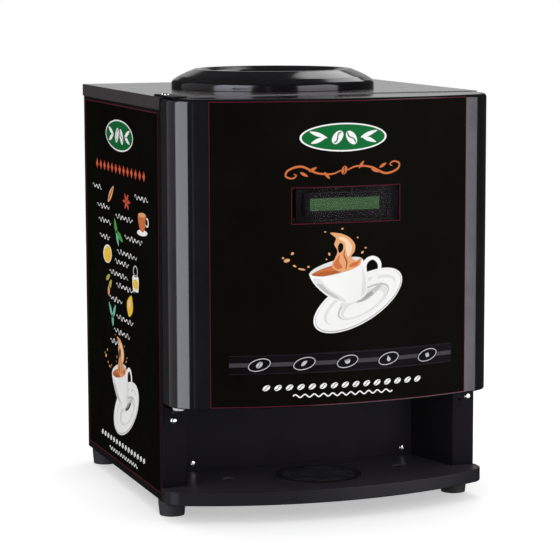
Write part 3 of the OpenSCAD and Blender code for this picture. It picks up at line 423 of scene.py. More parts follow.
def piece(name, bm, body, material, replaces=(), sharp=32, weighted=True):
    """Makes the finished piece in the frame, riding on its CAD body."""
    bmesh.ops.recalc_face_normals(bm, faces=bm.faces)
    for v in bm.verts:
        v.co = Vector((v.co.x, v.co.y + FRONT_Y, v.co.z)) * MM
    mesh = as_mesh(bm, name)
    mesh.materials.append(material)
    mesh.shade_smooth()
    mesh.set_sharp_from_angle(angle=radians(sharp))
    ob = new_object(name, mesh)
    if weighted:
        normals = ob.modifiers.new("weighted_normals", "WEIGHTED_NORMAL")
        normals.keep_sharp, normals.weight = True, 100
    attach(ob, body)
    if replaces:
        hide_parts(*replaces)


def join(parts):
    """Several meshes or bmeshes as one bmesh; the parts go."""
    out = bmesh.new()
    for part in parts:
        mesh = part if isinstance(part, bpy.types.Mesh) else as_mesh(part)
        out.from_mesh(mesh)
        bpy.data.meshes.remove(mesh)
    return out


# ---- the door


def bow_y(x, lift=0.0):
    return BOW_C - sqrt((BOW_R + lift) ** 2 - x * x)


def on_bow(x, z):
    """Matrix that stands a piece on the bow at x, with its own -Y straight out."""
    return Matrix.Translation((x, bow_y(x), z)) @ Matrix.Rotation(asin(x / BOW_R), 4, "Z")


def mirrored(right):
    """A symmetrical outline from its right half, which ends on the middle plane."""
    return right + [(-x, y) for x, y in reversed(right[:-1])]


def door_outline(inset):
    right = [(BODY_HALF - inset, -DOOR_GAP)]
    right += arc(CORNER_X, CORNER_Y, DOOR_CORNER - inset, 0, -(pi / 2 - BOW_A), 28)
    right += arc(0, BOW_C, BOW_R - inset, -pi / 2 + BOW_A, -pi / 2, 36)
    return mirrored(right)


def rounding(r, n):
    """Steps of a quarter round: (inset, distance from the end face)."""
    return [(r * (1 - sin(a)), r * (1 - cos(a))) for a in (pi / 2 * k / n for k in range(n + 1))]


def stacked(outline, z0, z1, foot=0.0, top=0.0, n=6):
    """A solid with the plan outline(inset) and rounded lower and upper edges."""
    low, high = (rounding(r, n) if r else [(0.0, 0.0)] for r in (foot, top))
    steps = [(inset, z0 + d) for inset, d in low] + [(inset, z1 - d) for inset, d in reversed(high)]
    return loft([[(x, y, z) for x, y in outline(inset)] for inset, z in steps])


def oval(w, h, y0, y1, x=None, z=None, rim=0.0):
    """An elliptical block along Y, tilted in the face of the door, with a rounded front rim at y0."""
    front = rounding(rim, 5)[::-1] if rim else [(0.0, 0.0)]
    bm = loft([[(u, y, v) for u, v in tilted_oval(w - 2 * inset, h - 2 * inset)]
               for inset, y in [(0.0, y1)] + [(inset, y0 + d) for inset, d in front]])
    if x is not None:
        bmesh.ops.transform(bm, matrix=on_bow(x, z), verts=bm.verts)
    return bm


KEY_X = [KEY_PITCH * (i - 2) for i in range(5)]


def key_holes(depth):
    """Cutters for the five keys."""
    return [oval(KEY_W + KEY_GAP, KEY_H + KEY_GAP, -6, depth, x, KEY_Z) for x in KEY_X]


def hinge_bar(z0, z1, r):
    return rod((HINGE_X, HINGE_Y, z0), (HINGE_X, HINGE_Y, z1), r)


def build_door():
    """The moulded door: a bowed shell with its hinge bosses, display opening, key holes and lock scoop."""
    boss_r, bore_r, scoop_r, barrel_r = 8, 5, 15, 9.5
    body = stacked(door_outline, DOOR_Z, DOOR_TOP, DOOR_FOOT_ROUND, DOOR_TOP_ROUND)
    hollow = loft([[(x, y if y < -DOOR_GAP - 0.01 else 4, z) for x, y in door_outline(DOOR_WALL)]
                   for z in (DOOR_Z + DOOR_WALL, DOOR_TOP - DOOR_WALL)])
    hollow = carve(hollow, [
        hinge_bar(DOOR_Z - 1, DOOR_Z + 10, boss_r), hinge_bar(DOOR_TOP - 11, DOOR_TOP + 1, boss_r),
        block(LOCK_X - 5, BODY_HALF + 1, LOCK_Y - 18, LOCK_Y + 17, LOCK_Z - 18, LOCK_Z + 18)])
    cuts = [hollow,
            block(-DISPLAY_W / 2, DISPLAY_W / 2, -110, -60, DISPLAY_Z - DISPLAY_H / 2, DISPLAY_Z + DISPLAY_H / 2),
            rod((LOCK_X, LOCK_Y, LOCK_Z), (BODY_HALF + 3, LOCK_Y, LOCK_Z), scoop_r, 72, scoop_r + 1.6),
            rod((LOCK_X - 12, LOCK_Y, LOCK_Z), (BODY_HALF, LOCK_Y, LOCK_Z), barrel_r),
            hinge_bar(DOOR_Z - 2, DOOR_Z + 12, bore_r), hinge_bar(DOOR_TOP - 12, DOOR_TOP + 2, bore_r)]
    piece("door_moulding", carve(body, cuts + key_holes(30)), "door", FINISH["black_gloss"],
          ["door_shell"], 28)


def bowed_sheet(half, z_rows, lift0, lift1, holes=(), step=4.0):
    """A thin sheet on the bow. z_rows are its heights; holes are (x0, x1, z0, z1) between those heights."""
    stops = {-half, half}
    for h in holes:
        stops |= {h[0], h[1]}
    n = int(2 * half / step)
    xs = sorted(stops | {round(-half + 2 * half * i / n, 3) for i in range(n + 1)
                         if all(abs(-half + 2 * half * i / n - s) > 1 for s in stops)})

    def solid(i, j):
        cx, cz = (xs[i] + xs[i + 1]) / 2, (z_rows[j] + z_rows[j + 1]) / 2
        return not any(h[0] < cx < h[1] and h[2] < cz < h[3] for h in holes)

    bm = bmesh.new()
    grid = {}

    def vert(i, j, side):
        key = (i, j, side)
        if key not in grid:
            lift = lift1 if side else lift0
            scale = (BOW_R + lift) / BOW_R
            grid[key] = bm.verts.new((xs[i] * scale, bow_y(xs[i] * scale, lift), z_rows[j]))
        return grid[key]

    cols, rows = len(xs) - 1, len(z_rows) - 1
    for i in range(cols):
        for j in range(rows):
            if not solid(i, j):
                continue
            bm.faces.new((vert(i, j, 1), vert(i + 1, j, 1), vert(i + 1, j + 1, 1), vert(i, j + 1, 1)))
            bm.faces.new((vert(i, j, 0), vert(i, j + 1, 0), vert(i + 1, j + 1, 0), vert(i + 1, j, 0)))
            for di, dj, a, b in ((-1, 0, (i, j), (i, j + 1)), (1, 0, (i + 1, j), (i + 1, j + 1)),
                                 (0, -1, (i, j), (i + 1, j)), (0, 1, (i, j + 1), (i + 1, j + 1))):
                ni, nj = i + di, j + dj
                if not (0 <= ni < cols and 0 <= nj < rows and solid(ni, nj)):
                    bm.faces.new((vert(*a, 1), vert(*b, 1), vert(*b, 0), vert(*a, 0)))
    return bm


def build_front_sheets():
    """The printed film, the key membrane with its bar and lines, and the display's pane."""
    gap, back = 0.2, 0.05
    d0, d1 = DISPLAY_Z - DISPLAY_H / 2, DISPLAY_Z + DISPLAY_H / 2
    s0, s1 = strip_lo.z - gap, strip_hi.z + gap
    sheet = bowed_sheet(FILM_HALF, [film_lo.z, s0, s1, d0, d1, film_hi.z], back, FILM_FACE,
                        [(-DISPLAY_W / 2, DISPLAY_W / 2, d0, d1), (-STRIP_W / 2 - gap, STRIP_W / 2 + gap, s0, s1)])
    piece("front_film_sheet", sheet, "door", FINISH["film"], ["front_film"])
    strip = carve(bowed_sheet(STRIP_W / 2, [strip_lo.z, strip_hi.z], back, STRIP_FACE), key_holes(6))
    piece("key_membrane", strip, "door", FINISH["strip"], ["keypad_strip"])
    ink_back = STRIP_FACE + 0.01
    bar = bowed_sheet(STRIP_W / 2 - 0.4, [KEY_Z - 2.4, KEY_Z + 2.4], ink_back, STRIP_FACE + 0.07)
    piece("membrane_bar", carve(bar, key_holes(6)), "door", INK["grey"])
    edges = [bowed_sheet(STRIP_W / 2 - 0.3, [z - 0.25, z + 0.25], ink_back, STRIP_FACE + 0.06)
             for z in (strip_lo.z + 0.9, strip_hi.z - 0.9)]
    piece("membrane_lines", join(edges), "door", INK["dim"])
    pane = bowed_sheet(window_hi.x, [window_lo.z, window_hi.z], -2.8, -1.2)
    piece("window_pane", pane, "door", FINISH["window"], ["display_window"])


def build_display():
    """The lit panel and its two rows of character cells, each of four columns of dots."""
    x_half, z_half = 43 - 0.2, 7.3 - 0.2
    y = module_lo.y + 0.75
    panel = bevel_edges(block(-x_half, x_half, y, y + 0.2, DISPLAY_Z - z_half, DISPLAY_Z + z_half), 0.08)
    piece("display_panel", panel, "door", backlight())
    cells = []
    columns, pitch, row_half, dot_pitch, dot_half = 16, 5.1, 3.3, 1.1, 0.45
    for cz in (DISPLAY_Z - row_half, DISPLAY_Z + row_half):
        for i in range(columns):
            for dot in range(4):
                x = (i - (columns - 1) / 2) * pitch + dot_pitch * (dot - 1.5)
                cells.append(block(x - dot_half, x + dot_half, y - 0.04, y - 0.005, cz - 2.5, cz + 2.5))
    mat = lit_panel("display_cells", (0.02, 0.055, 0.02), Emission_Color=(0.052, 0.128, 0.046, 1),
                    Emission_Strength=0.78)
    piece("display_cells", join(cells), "door", mat)


def key_mark(kind):
    """The raised mark on a key: loops of (u, v) in millimetres, one list for each shape."""
    if kind == "bean":
        return [half_bean(0, 0, 5.6, 3.4, 0.55, 1), half_bean(0, 0, 5.6, 3.4, 0.55, -1)]
    if kind == "leaf":
        return [leaf(-0.2, 0.3, 5.6, 2.6, radians(24)), ribbon([(-5.2, -2.6), (-3, -1.9)], [0.35, 0.35])]
    if kind == "half":
        return [[(-4.4, 2.6), (4.4, 2.6), (4.4, 1.9), (-4.4, 1.9)],
                smooth([(-3.9, 0.9), (3.9, 0.9), (3.2, -1.8), (2, -3), (-2, -3), (-3.2, -1.8)], 3)]
    if kind == "drop":
        return [smooth([(0, 4.3), (1.5, 1.7), (2.9, -0.7), (2.3, -3), (0, -4), (-2.3, -3), (-2.9, -0.7),
                        (-1.5, 1.7)], 4)]
    return [round_corners([(-2.8, -2.8), (2.8, -2.8), (2.8, 2.8), (-2.8, 2.8)], 0.8)]


def build_keys():
    """Five oval caps on the bow, each with a printed ring and mark."""
    tilt = Matrix.Rotation(KEY_TILT, 2)
    names = ("coffee", "tea", "half_cup", "hot_water", "stop")
    kinds = ("bean", "leaf", "half", "drop", "square")
    for name, kind, x in zip(names, kinds, KEY_X):
        node, at = name + "_key", on_bow(x, KEY_Z)
        stem_y = (local_box(node)[1].y - bow_y(x)) / cos(asin(x / BOW_R)) - 1
        cap = join([oval(KEY_W, KEY_H, -KEY_PROUD + 0.12, 5, rim=0.9), rod((0, 4.9, 0), (0, stem_y, 0), 2, 24)])
        bmesh.ops.transform(cap, matrix=at, verts=cap.verts)
        piece(node + "_cap", cap, name + "_button", FINISH["strip"], [node])
        ring = [tilted_oval(KEY_W - 1.3, KEY_H - 1.3), tilted_oval(KEY_W - 3.2, KEY_H - 3.2)]
        marks = [([[tuple(tilt @ Vector(p) * 0.82) for p in loop]], 0) for loop in key_mark(kind)]
        bm = relief([(ring, 0)] + marks, lambda u, v, lift: at @ Vector((u, -lift, v)), KEY_PROUD - 0.13, 0.1, 0)
        piece(node + "_mark", bm, name + "_button", INK["mist"])


# ---- flat shapes for the prints


def ellipse(cx, cy, rx, ry, rot=0.0, n=40):
    c, s = cos(rot), sin(rot)
    return [(cx + rx * cos(a) * c - ry * sin(a) * s, cy + rx * cos(a) * s + ry * sin(a) * c)
            for a in (2 * pi * k / n for k in range(n))]


def tilted_oval(w, h):
    """An ellipse tilted as the keys are."""
    return ellipse(0, 0, w / 2, h / 2, KEY_TILT, 48)


def smooth(points, n=6, closed=True):
    """A curve through the points."""
    out, count = [], len(points)
    spans = count if closed else count - 1
    for i in range(spans):
        if closed:
            p = [Vector(points[(i + k) % count]) for k in (-1, 0, 1, 2)]
        else:
            p = [Vector(points[min(max(i + k, 0), count - 1)]) for k in (-1, 0, 1, 2)]
        for k in range(n):
            t = k / n
            q = 0.5 * (2 * p[1] + (p[2] - p[0]) * t + (2 * p[0] - 5 * p[1] + 4 * p[2] - p[3]) * t * t
                       + (3 * p[1] - p[0] - 3 * p[2] + p[3]) * t ** 3)
            out.append(tuple(q))
    if not closed:
        out.append(tuple(points[-1]))
    return out


def ribbon(points, widths):
    """A stroke along the points; widths are its half widths."""
    left, right = [], []
    count = len(points)
    for i, p in enumerate(points):
        a, b = Vector(points[max(i - 1, 0)]), Vector(points[min(i + 1, count - 1)])
        side = (b - a).normalized().orthogonal()
        t = i / max(1, count - 1) * (len(widths) - 1)
        k = min(int(t), len(widths) - 2)
        w = widths[k] + (widths[k + 1] - widths[k]) * (t - k)
        left.append(tuple(Vector(p) + side * w))
        right.append(tuple(Vector(p) - side * w))
    return left + right[::-1]


def leaf(cx, cy, length, width, rot):
    pts = [(-length, 0), (-length * 0.45, width * 0.85), (length * 0.2, width), (length, 0.1),
           (length * 0.2, -width * 0.8), (-length * 0.45, -width * 0.8)]
    turn = Matrix.Rotation(rot, 2)
    return [tuple(turn @ Vector(p) + Vector((cx, cy))) for p in smooth(pts, 5)]


def half_bean(cx, cy, a, b, slot, side, rot=0.5):
    """Half of a coffee bean beside its curved slot."""
    edge = [(a * cos(t), side * b * sin(t)) for t in (pi * k / 14 for k in range(15))]
    seam = [(a * 0.93 * (2 * k / 10 - 1), side * slot + b * 0.3 * sin(pi * (2 * k / 10 - 1)))
            for k in range(1, 10)]
    c, s = cos(rot), sin(rot)
    return [(cx + x * c - y * s, cy + x * s + y * c) for x, y in edge + seam]


def wave(x0, x1, y, height, turns, half_width, taper=True):
    """A wavy rule; a tapered one has crests of uneven height, as if drawn by hand."""
    n = int(turns * 14)
    pts = []
    for k in range(n + 1):
        t = turns * k / n
        swell = 0.72 + 0.28 * sin(2.3 * t + x0) if taper else 1
        pts.append((x0 + (x1 - x0) * k / n, y + height / 2 * swell * sin(2 * pi * t)))
    return ribbon(pts, [half_width * 0.4, half_width, half_width * 0.4] if taper else [half_width, half_width])


def relief(shapes, place, lift, thick, step):
    """Thin closed solids from flat shapes. shapes: (loops, layer); place(u, v, lift) gives the point."""
    out = bmesh.new()
    for loops, layer in shapes:
        flat = bmesh.new()
        verts = [flat.verts.new((u, v, 0)) for loop in loops for u, v in loop]
        for t in tessellate_polygon([[Vector((u, v, 0)) for u, v in loop] for loop in loops]):
            if len({*t}) == 3:
                try:
                    flat.faces.new([verts[k] for k in t])
                except ValueError:
                    pass
        loose = [v for v in flat.verts if not v.link_faces]
        bmesh.ops.delete(flat, geom=loose, context="VERTS")
        if step and flat.verts:
            us = [v.co.x for v in flat.verts]
            k = floor(min(us) / step) + 1
            while k * step < max(us):
                bmesh.ops.bisect_plane(flat, geom=flat.verts[:] + flat.edges[:] + flat.faces[:], dist=1e-5,
                                       plane_co=(k * step, 0, 0), plane_no=(1, 0, 0))
                k += 1
        low = lift + layer * LAYER_STEP
        high = low + thick
        under = {v: out.verts.new(place(v.co.x, v.co.y, low)) for v in flat.verts}
        over = {v: out.verts.new(place(v.co.x, v.co.y, high)) for v in flat.verts}
        for f in flat.faces:
            out.faces.new([over[v] for v in f.verts])
            out.faces.new([under[v] for v in reversed(f.verts)])
        for e in flat.edges:
            if len(e.link_faces) == 1:
                a, b = e.verts
                out.faces.new((under[a], under[b], over[b], over[a]))
        flat.free()
    return out


def moved(loops, scale=1.0, du=0.0, dv=0.0, wide=1.0):
    return [[(u * scale * wide + du, v * scale + dv) for u, v in loop] for loop in loops]


# ---- the printed pictures


def bean(colour, layer, u, v, length, width, slot, rot):
    """A coffee bean in two halves."""
    return [(colour, layer, [half_bean(u, v, length, width, slot, side, rot)]) for side in (-1, 1)]


def badge(cu, cv, w, h):
    """A plain oval label with two coffee beans between leaves."""
    art = [("white", 0, [ellipse(cu, cv, w / 2, h / 2, 0, 72)]),
           ("green", 1, [ellipse(cu, cv, w / 2 - 0.035 * w / 2 - 0.5, h / 2 - 1.7, 0, 72)])]
    for side in (-1, 1):
        for rot, size in ((0.35, 0.105), (-0.35, 0.09)):
            art.append(("white", 2, [leaf(cu + side * w * 0.29, cv + rot * h * 0.28, w * size, h * 0.075,
                                          side * rot)]))
    for u, v, rot in ((cu - 0.075 * w, cv, 0.9), (cu + 0.085 * w, cv - 0.02 * h, 2.2)):
        art += bean("white", 2, u, v, h * 0.27, h * 0.17, h * 0.025, rot)
    return art


def flourish(cu, cv, w, h, colour):
    """A scroll with two curls and leaves."""
    art = bean(colour, 0, cu, cv, h * 0.2, h * 0.13, h * 0.02, 1.2)
    scroll = [(4, -0.05), (w * 0.1, 0.16 * h), (w * 0.22, 0.1 * h), (w * 0.34, -0.2 * h), (w * 0.44, -0.05 * h),
              (w * 0.46, 0.22 * h), (w * 0.41, 0.32 * h), (w * 0.38, 0.2 * h), (w * 0.4, 0.12 * h)]
    for side in (-1, 1):
        line = [(cu + side * u, cv + side * v) for u, v in smooth(scroll, 8, False)]
        art.append((colour, 0, [ribbon(line, [0.7, 1.3, 1.0, 0.5])]))
        for at, rot in ((0.14, 0.9), (0.25, -0.5), (0.32, 0.5)):
            art.append((colour, 0, [leaf(cu + side * w * at, cv + side * (0.05 * h + 4.4 * sin(rot) * 1.3),
                                         w * 0.035, h * 0.07, side * rot)]))
    return art


def cup_picture(scale=1.0, du=0.0, dv=0.0):
    """A tilted white cup and saucer with leaping coffee, drawn about the saucer's middle."""
    tilt = radians(27)
    art = [
        ("white", 0, [ellipse(0, 0, 61.4, 27, tilt, 72)]),
        ("mist", 1, [ellipse(0.5, -0.6, 59.6, 25.2, tilt, 72), ellipse(0.4, 0.1, 58.6, 24.3, tilt, 72)]),
        ("pearl", 1, [ellipse(2, 0.5, 50, 19.5, tilt, 60), ellipse(3, -1.4, 47.5, 17.8, tilt, 60)]),
        ("mist", 1, [ellipse(6, -1.5, 36, 14.2, tilt, 60), ellipse(6.4, -2.4, 34, 12.8, tilt, 60)]),
        ("pearl", 1, [ellipse(7, -2.6, 33, 12, tilt, 60)]),
        ("white", 2, [ellipse(6, -4.6, 28, 9, tilt, 60)]),
        ("mist", 2, [smooth([(-13, 2.5), (-2, -2.6), (12, 1.5), (23, 10), (30, 18), (27, 19.5), (18, 13), (6, 6)])]),
        ("shade", 3, [smooth([(-9, 2.2), (-1, -0.8), (9, 2.6), (17, 9), (15, 10), (5, 5)])]),
        ("pearl", 3, [ellipse(-7.5, 1.2, 17.5, 4.6, radians(21), 40)]),
        ("white", 4, [smooth([(5, 41), (9, 49), (17, 51.7), (25, 48.5), (28.6, 40.5), (26, 30), (19, 21.5),
                              (11, 17)]),
                      smooth([(9.4, 39), (12, 45), (17.5, 47.2), (22.4, 43.6), (24, 38.5), (21.8, 31.5), (16.6, 25.6),
                              (11.8, 23)])]),
        ("pearl", 4, [ellipse(-28.5, 40.4, 33.6, 8.2, radians(13.5), 60)]),
        ("coffee", 5, [ellipse(-30.5, 37.6, 28.5, 5.2, radians(12), 48)]),
        ("orange", 6, [smooth([(-56, 33.5), (-44, 36), (-31, 36.4), (-19, 38), (-24, 41), (-36, 40.2), (-50, 37)])]),
        ("white", 7, [smooth([(-60.8, 32.6), (-57, 24), (-50, 16), (-40, 7.5), (-27, 0.8), (-17, -2.4), (-7, -1.6),
                              (4, 3), (9.6, 9.6), (10.2, 18), (9, 28), (7.4, 38), (4.4, 48.4), (0, 43), (-10, 37.4),
                              (-26, 32.4), (-42, 30.2), (-54, 30.8)])]),
        ("pearl", 8, [smooth([(-57, 27), (-49, 16.5), (-38, 7.6), (-26, 1.6), (-16, -1), (-20, 4), (-31, 11),
                              (-41, 19),
                              (-48, 27)])]),
        ("mist", 9, [smooth([(-52, 21), (-43, 12), (-33, 6), (-24, 2.4), (-30, 8), (-39, 14), (-46, 21)])]),
        ("pearl", 8, [smooth([(3, 5), (8, 10), (8.6, 18), (7.4, 28), (4, 40), (4.4, 27), (3.4, 14)])]),
        ("latte", 8, [smooth([(-34, 42), (-30, 51), (-27, 59), (-31, 67), (-29, 74), (-36, 80.6), (-26, 80),
                              (-19, 78),
                              (-11, 73.6), (-5.4, 66), (-6, 58), (-10, 52), (-4, 47), (2.6, 50), (1, 42), (-8, 37.4),
                              (-19, 34.6), (-28, 36.4)], 7),
                      smooth([(-25, 57), (-20.6, 60), (-20, 66), (-23.6, 68.6), (-26.6, 64)])]),
        ("cream", 9, [smooth([(-26, 74), (-19, 75), (-11, 68), (-9.4, 60), (-13.6, 52), (-17, 60), (-17.6, 68)])]),
        ("orange", 9, [smooth([(-32, 43), (-28, 50), (-24, 55), (-25, 47), (-21, 40), (-27, 38)])]),
        ("orange", 9, [smooth([(-8, 45), (-3, 45.6), (0.4, 48), (-1, 43), (-8, 39.6), (-13, 41)])]),
        ("coffee", 10, [ribbon(smooth([(-17, 37), (-15.6, 46), (-19, 54), (-17.6, 61)], 6, False), [0.5, 1.1,
                                                                                                    0.9, 0.3])]),
    ]
    drops = [(-81, 58, 2.0, 1.5, 0.5), (-87.5, 50, 3.6, 2.1, 0.2), (-92, 53, 1.4, 1.1, 0), (-78.4, 43.4, 2.2,
                                                                                            1.0, -0.4),
             (-70, 39.4, 4.4, 1.0, -0.2), (-62, 42, 1.5, 1.1, 0), (4, 56.4, 1.9, 1.3, 0.8), (8, 61.6, 1.2, 1.0, 0),
             (-2, 74, 1.0, 0.9, 0), (-37, 56, 1.2, 2.0, 0.2), (-40.4, 50, 1.0, 0.9, 0), (-21, 85, 1.5, 0.9, 0.3),
             (-42, 82, 1.2, 0.8, 0)]
    art += [("latte", 8, [ellipse(u, v, a, b, r, 20)]) for u, v, a, b, r in drops]
    return [(c, k, moved(loops, scale, du, dv)) for c, k, loops in art]


def bean_row(u0, u1, v, size, count, colour):
    art = []
    for i in range(count):
        art += bean(colour, 0, u0 + (u1 - u0) * i / (count - 1), v, size, size * 0.62, size * 0.09, 0.5)
    return art


def front_art():
    art = badge(-4.3, 454, 107, 33)
    art += flourish(-4, 416, 152, 26, "orange")
    art += cup_picture(1.0, 14.5, 263)
    art += bean_row(-97, 92, 164.4, 4.7, 15, "white")
    art.append(("white", 0, [wave(-66, 58, 153.8, 3.4, 11, 0.75, False)]))
    return art


def side_icons():
    """Spices, leaves and drinks: (colour, layer, loops) about each icon's own middle."""
    cinnamon = [("latte", 0, [leaf(0, 0, 15, 4.6, 0.9)]), ("brown", 1, [ribbon([(-7, -8), (7, 9)], [0.9, 0.5])])]
    star = [("red", 0, [leaf(6 * cos(a), 6 * sin(a), 5.6, 2.2, a)]) for a in
            (2 * pi * k / 6 for k in range(6))] + [("brown", 1, [ellipse(0, 0, 2.4, 2.4, 0, 16)])]
    glass = [("white", 0, [ellipse(0, -13, 15, 4, 0.1, 28)]),
             ("orange", 1, [smooth([(-11, 9), (11, 11), (9, -4), (4, -11), (-4, -11), (-9, -4)], 5)]),
             ("latte", 2, [ellipse(0, 9.6, 10.6, 3, 0.09, 24)]),
             ("white", 1, [ellipse(14, 2, 5, 6, 0, 20), ellipse(13.6, 2, 3.2, 4.2, 0, 20)])]
    mint = [("leaf", 0, [leaf(-4, 7, 12, 4, 1.9)]), ("leaf", 0, [leaf(7, -4, 12, 4.4, -0.5)]),
            ("teal", 1, [leaf(1, -9, 9, 3, -1.2)])]
    mango = [("white", 0, [ellipse(0, 0, 14, 12, 0.5, 32)]), ("yellow", 1, [ellipse(0.6, -0.4, 12.4, 10.4, 0.5, 32)])]
    bottle = [("white", 0, [smooth([(-8, 2), (8, 3), (8.6, -12), (6, -17), (-6, -17), (-8.6, -12)], 4)]),
              ("yellow", 1, [smooth([(-6, -3), (6, -2.4), (6, -13), (-6, -13)], 3)]),
              ("mist", 0, [ellipse(0, 9, 7, 7.6, 0, 24), ellipse(0, 9, 5.2, 5.8, 0, 24)])]
    pods = [("olive", 0, [leaf(-3, 8, 7.5, 3.4, 0.6)]), ("olive", 0, [leaf(4, 0, 8, 3.6, 1.0)]),
            ("latte", 0, [leaf(-1, -9, 7.5, 3.2, 1.5)])]
    lemon = [("yellow", 0, [leaf(0, 0, 15, 9.5, 1.3)]), ("cream", 1, [ellipse(-2, 3, 3, 5, -0.2, 20)])]
    sprig = [("teal", 0, [leaf(-6, 4, 11, 3, 2.1)]), ("teal", 0, [leaf(5, 4, 11, 3, 1.1)]),
             ("teal", 0, [leaf(0, -8, 9, 3, 1.6)])]
    return [(-223, 367.5, cinnamon), (-149, 364.5, star), (-79.5, 345.5, glass), (-195, 321.7, mint),
            (-242.6, 289.7, mango), (-111.6, 274.1, bottle), (-236.6, 252.1, pods), (-137.3, 236.6, lemon),
            (-220.6, 215.9, sprig)]


def side_art():
    art = badge(-180, 443.5, 127, 39)
    for i in range(13):
        u = -288 + 218 * i / 12
        art.append(("red", 0, [[(u - 6, 401.5), (u, 408), (u + 6, 401.5), (u, 395)]]))
        art.append(("orange", 1, [[(u - 2.6, 401.5), (u, 404.4), (u + 2.6, 401.5), (u, 398.6)]]))
    for cu, cv, icon in side_icons():
        art += [(c, k, moved(loops, 0.95, cu, cv, 1.6)) for c, k, loops in icon]
    rules = [(-290, 372, 44), (-261, 349, 62), (-82, 374, 60), (-161.6, 342.7, 82), (-255, 310.5, 50),
             (-254, 331, 60), (-120, 320, 82), (-150, 298.7, 92), (-174, 285.4, 66), (-190, 269.2, 88),
             (-160, 256, 84), (-205, 235.8, 62), (-163, 215.6, 80), (-178, 196.8, 76), (-212, 181, 44)]
    for cu, cv, w in rules:
        art.append(("white", 0, [wave(cu - w / 2, cu + w / 2, cv, 6.4, w / 15, 0.85)]))
    art += cup_picture(1.06, -162, 104)
    art += bean_row(-278, -82, 53.4, 4.9, 15, "white")
    art.append(("white", 0, [wave(-244, -112, 39.8, 3.8, 12, 0.8, False)]))
    return art


def border(half_u, u_mid, v0, v1, w=0.7):
    """A rectangular line of width w."""
    return [[(u_mid - half_u + i, v0 + i), (u_mid + half_u - i, v0 + i), (u_mid + half_u - i, v1 - i),
             (u_mid - half_u + i, v1 - i)] for i in (0, w)]


def print_art(prefix, art, place, lift, body, step):
    """One piece for each colour of a picture."""
    groups = {}
    for colour, layer, loops in art:
        groups.setdefault(colour, []).append((loops, layer))
    for colour, shapes in groups.items():
        bm = relief(shapes, place, lift, INK_THICK, step)
        piece(f"{prefix}_{colour}_print", bm, body, INK[colour], weighted=False)


def build_prints():
    """The pictures on the front and on both sides, the right one with its drawing running to the rear."""

    def on_front(u, v, lift):
        return Vector((u, bow_y(u, lift), v))

    def on_left(u, v, lift):
        return Vector((side_lo.x - lift, -u, v))

    def on_right(u, v, lift):
        return Vector((side_hi.x + lift, u + panel_hi.y, v))

    rim = 0.9
    art = front_art() + [
        ("maroon", 0, border(FILM_HALF, 0, film_lo.z, film_hi.z)),
        ("maroon", 0, border(DISPLAY_W / 2 + rim, 0, DISPLAY_Z - DISPLAY_H / 2 - rim,
                             DISPLAY_Z + DISPLAY_H / 2 + rim))]
    print_art("front", art, on_front, FILM_FACE + ON_SHEET, "door", 5.0)
    middle, half = (side_lo.y + side_hi.y) / 2, (side_hi.y - side_lo.y) / 2
    for prefix, place, u_mid in (("left", on_left, -middle), ("right", on_right, middle - panel_hi.y)):
        lines = ("maroon", 0, border(half, u_mid, side_lo.z, side_hi.z, 1.1))
        print_art(prefix, side_art() + [lines], place, ON_SHEET, "cabinet", 0)


# ---- tray, seat and fasteners


def niche_half(y):
    """Half width of the niche, which narrows to its back."""
    return NICHE_FRONT - (NICHE_FRONT - NICHE_BACK) * y / NICHE_D


def tray_outline(inset, rear_inset=None):
    """Plan of the tray: a neck inside the niche and a bowed front as wide as the machine."""
    rear = inset if rear_inset is None else rear_inset
    overhang, back_gap, front_gap, end_gap, shoulder_y = 2, 1.3, 0.78, 2, 2
    half = BODY_HALF + overhang
    cx = half - TRAY_CORNER
    centre = TRAY_BOW_R - TRAY_REACH
    cy = centre - sqrt((TRAY_BOW_R - TRAY_CORNER) ** 2 - cx ** 2)
    a = atan2(cy - centre, cx)
    back = niche_half(NICHE_D) - back_gap - rear
    front = niche_half(shoulder_y) - front_gap - rear
    end_y = NICHE_D - end_gap - rear
    right = [(0, end_y), (back, end_y), (front, shoulder_y), (front, TRAY_FACE_Y - inset),
             (half - inset, TRAY_FACE_Y - inset)]
    right += arc(cx, cy, TRAY_CORNER - inset, 0, a, 20)
    right += arc(0, centre, TRAY_BOW_R - inset, a, -pi / 2, 48)
    return right + [(-x, y) for x, y in reversed(right[1:-1])]


def build_tray():
    """The bowed tray, hollow with a ledge for its cover, and the cover with its strainer and finger holes."""
    floor_z, seat_z, over = tray_lo.z + 2.2, cover_lo.z - 0.2, tray_hi.z + 5
    body = stacked(tray_outline, tray_lo.z, tray_hi.z, 1.8, 0.8)
    basin = loft([[(x, y, z) for x, y in tray_outline(4)] for z in (floor_z, over)])
    ledge = loft([[(x, y, z) for x, y in tray_outline(1.8, 0)] for z in (seat_z, over)])
    rear = block(-BODY_HALF, BODY_HALF, TRAY_FACE_Y, NICHE_D, seat_z, over)
    piece("drip_tray_moulding", carve(body, [basin, ledge, rear]), "tray", TRAY_FINISH,
          ["drip_tray"], 30)

    def hole(x, y, z0, z1, r, n, r_end=None):
        return rod((x, y, z0), (x, y, z1), r, n, r_end)

    cover = stacked(lambda i: tray_outline(2.1 + i, 0.2 + i), cover_lo.z, cover_hi.z, 0.0, 0.7)
    under, above = cover_lo.z - 2, cover_hi.z + 2
    cuts = [hole(0, CUP_Y, under, above, STRAINER_R - 3, 96),
            hole(0, CUP_Y, cover_lo.z + 1.4, above, STRAINER_R + 0.3, 96, STRAINER_R + 0.55)]
    for x in (-FINGER_X, FINGER_X):
        cuts += [hole(x, CUP_Y + 10, under, above, FINGER_R, 48),
                 hole(x, CUP_Y + 10, cover_hi.z - 0.3, cover_hi.z + 0.3, FINGER_R, 48, FINGER_R + 0.6)]
    piece("tray_cover_plate", carve(cover, cuts), "cover", COVER_FINISH, ["tray_cover"], 30)


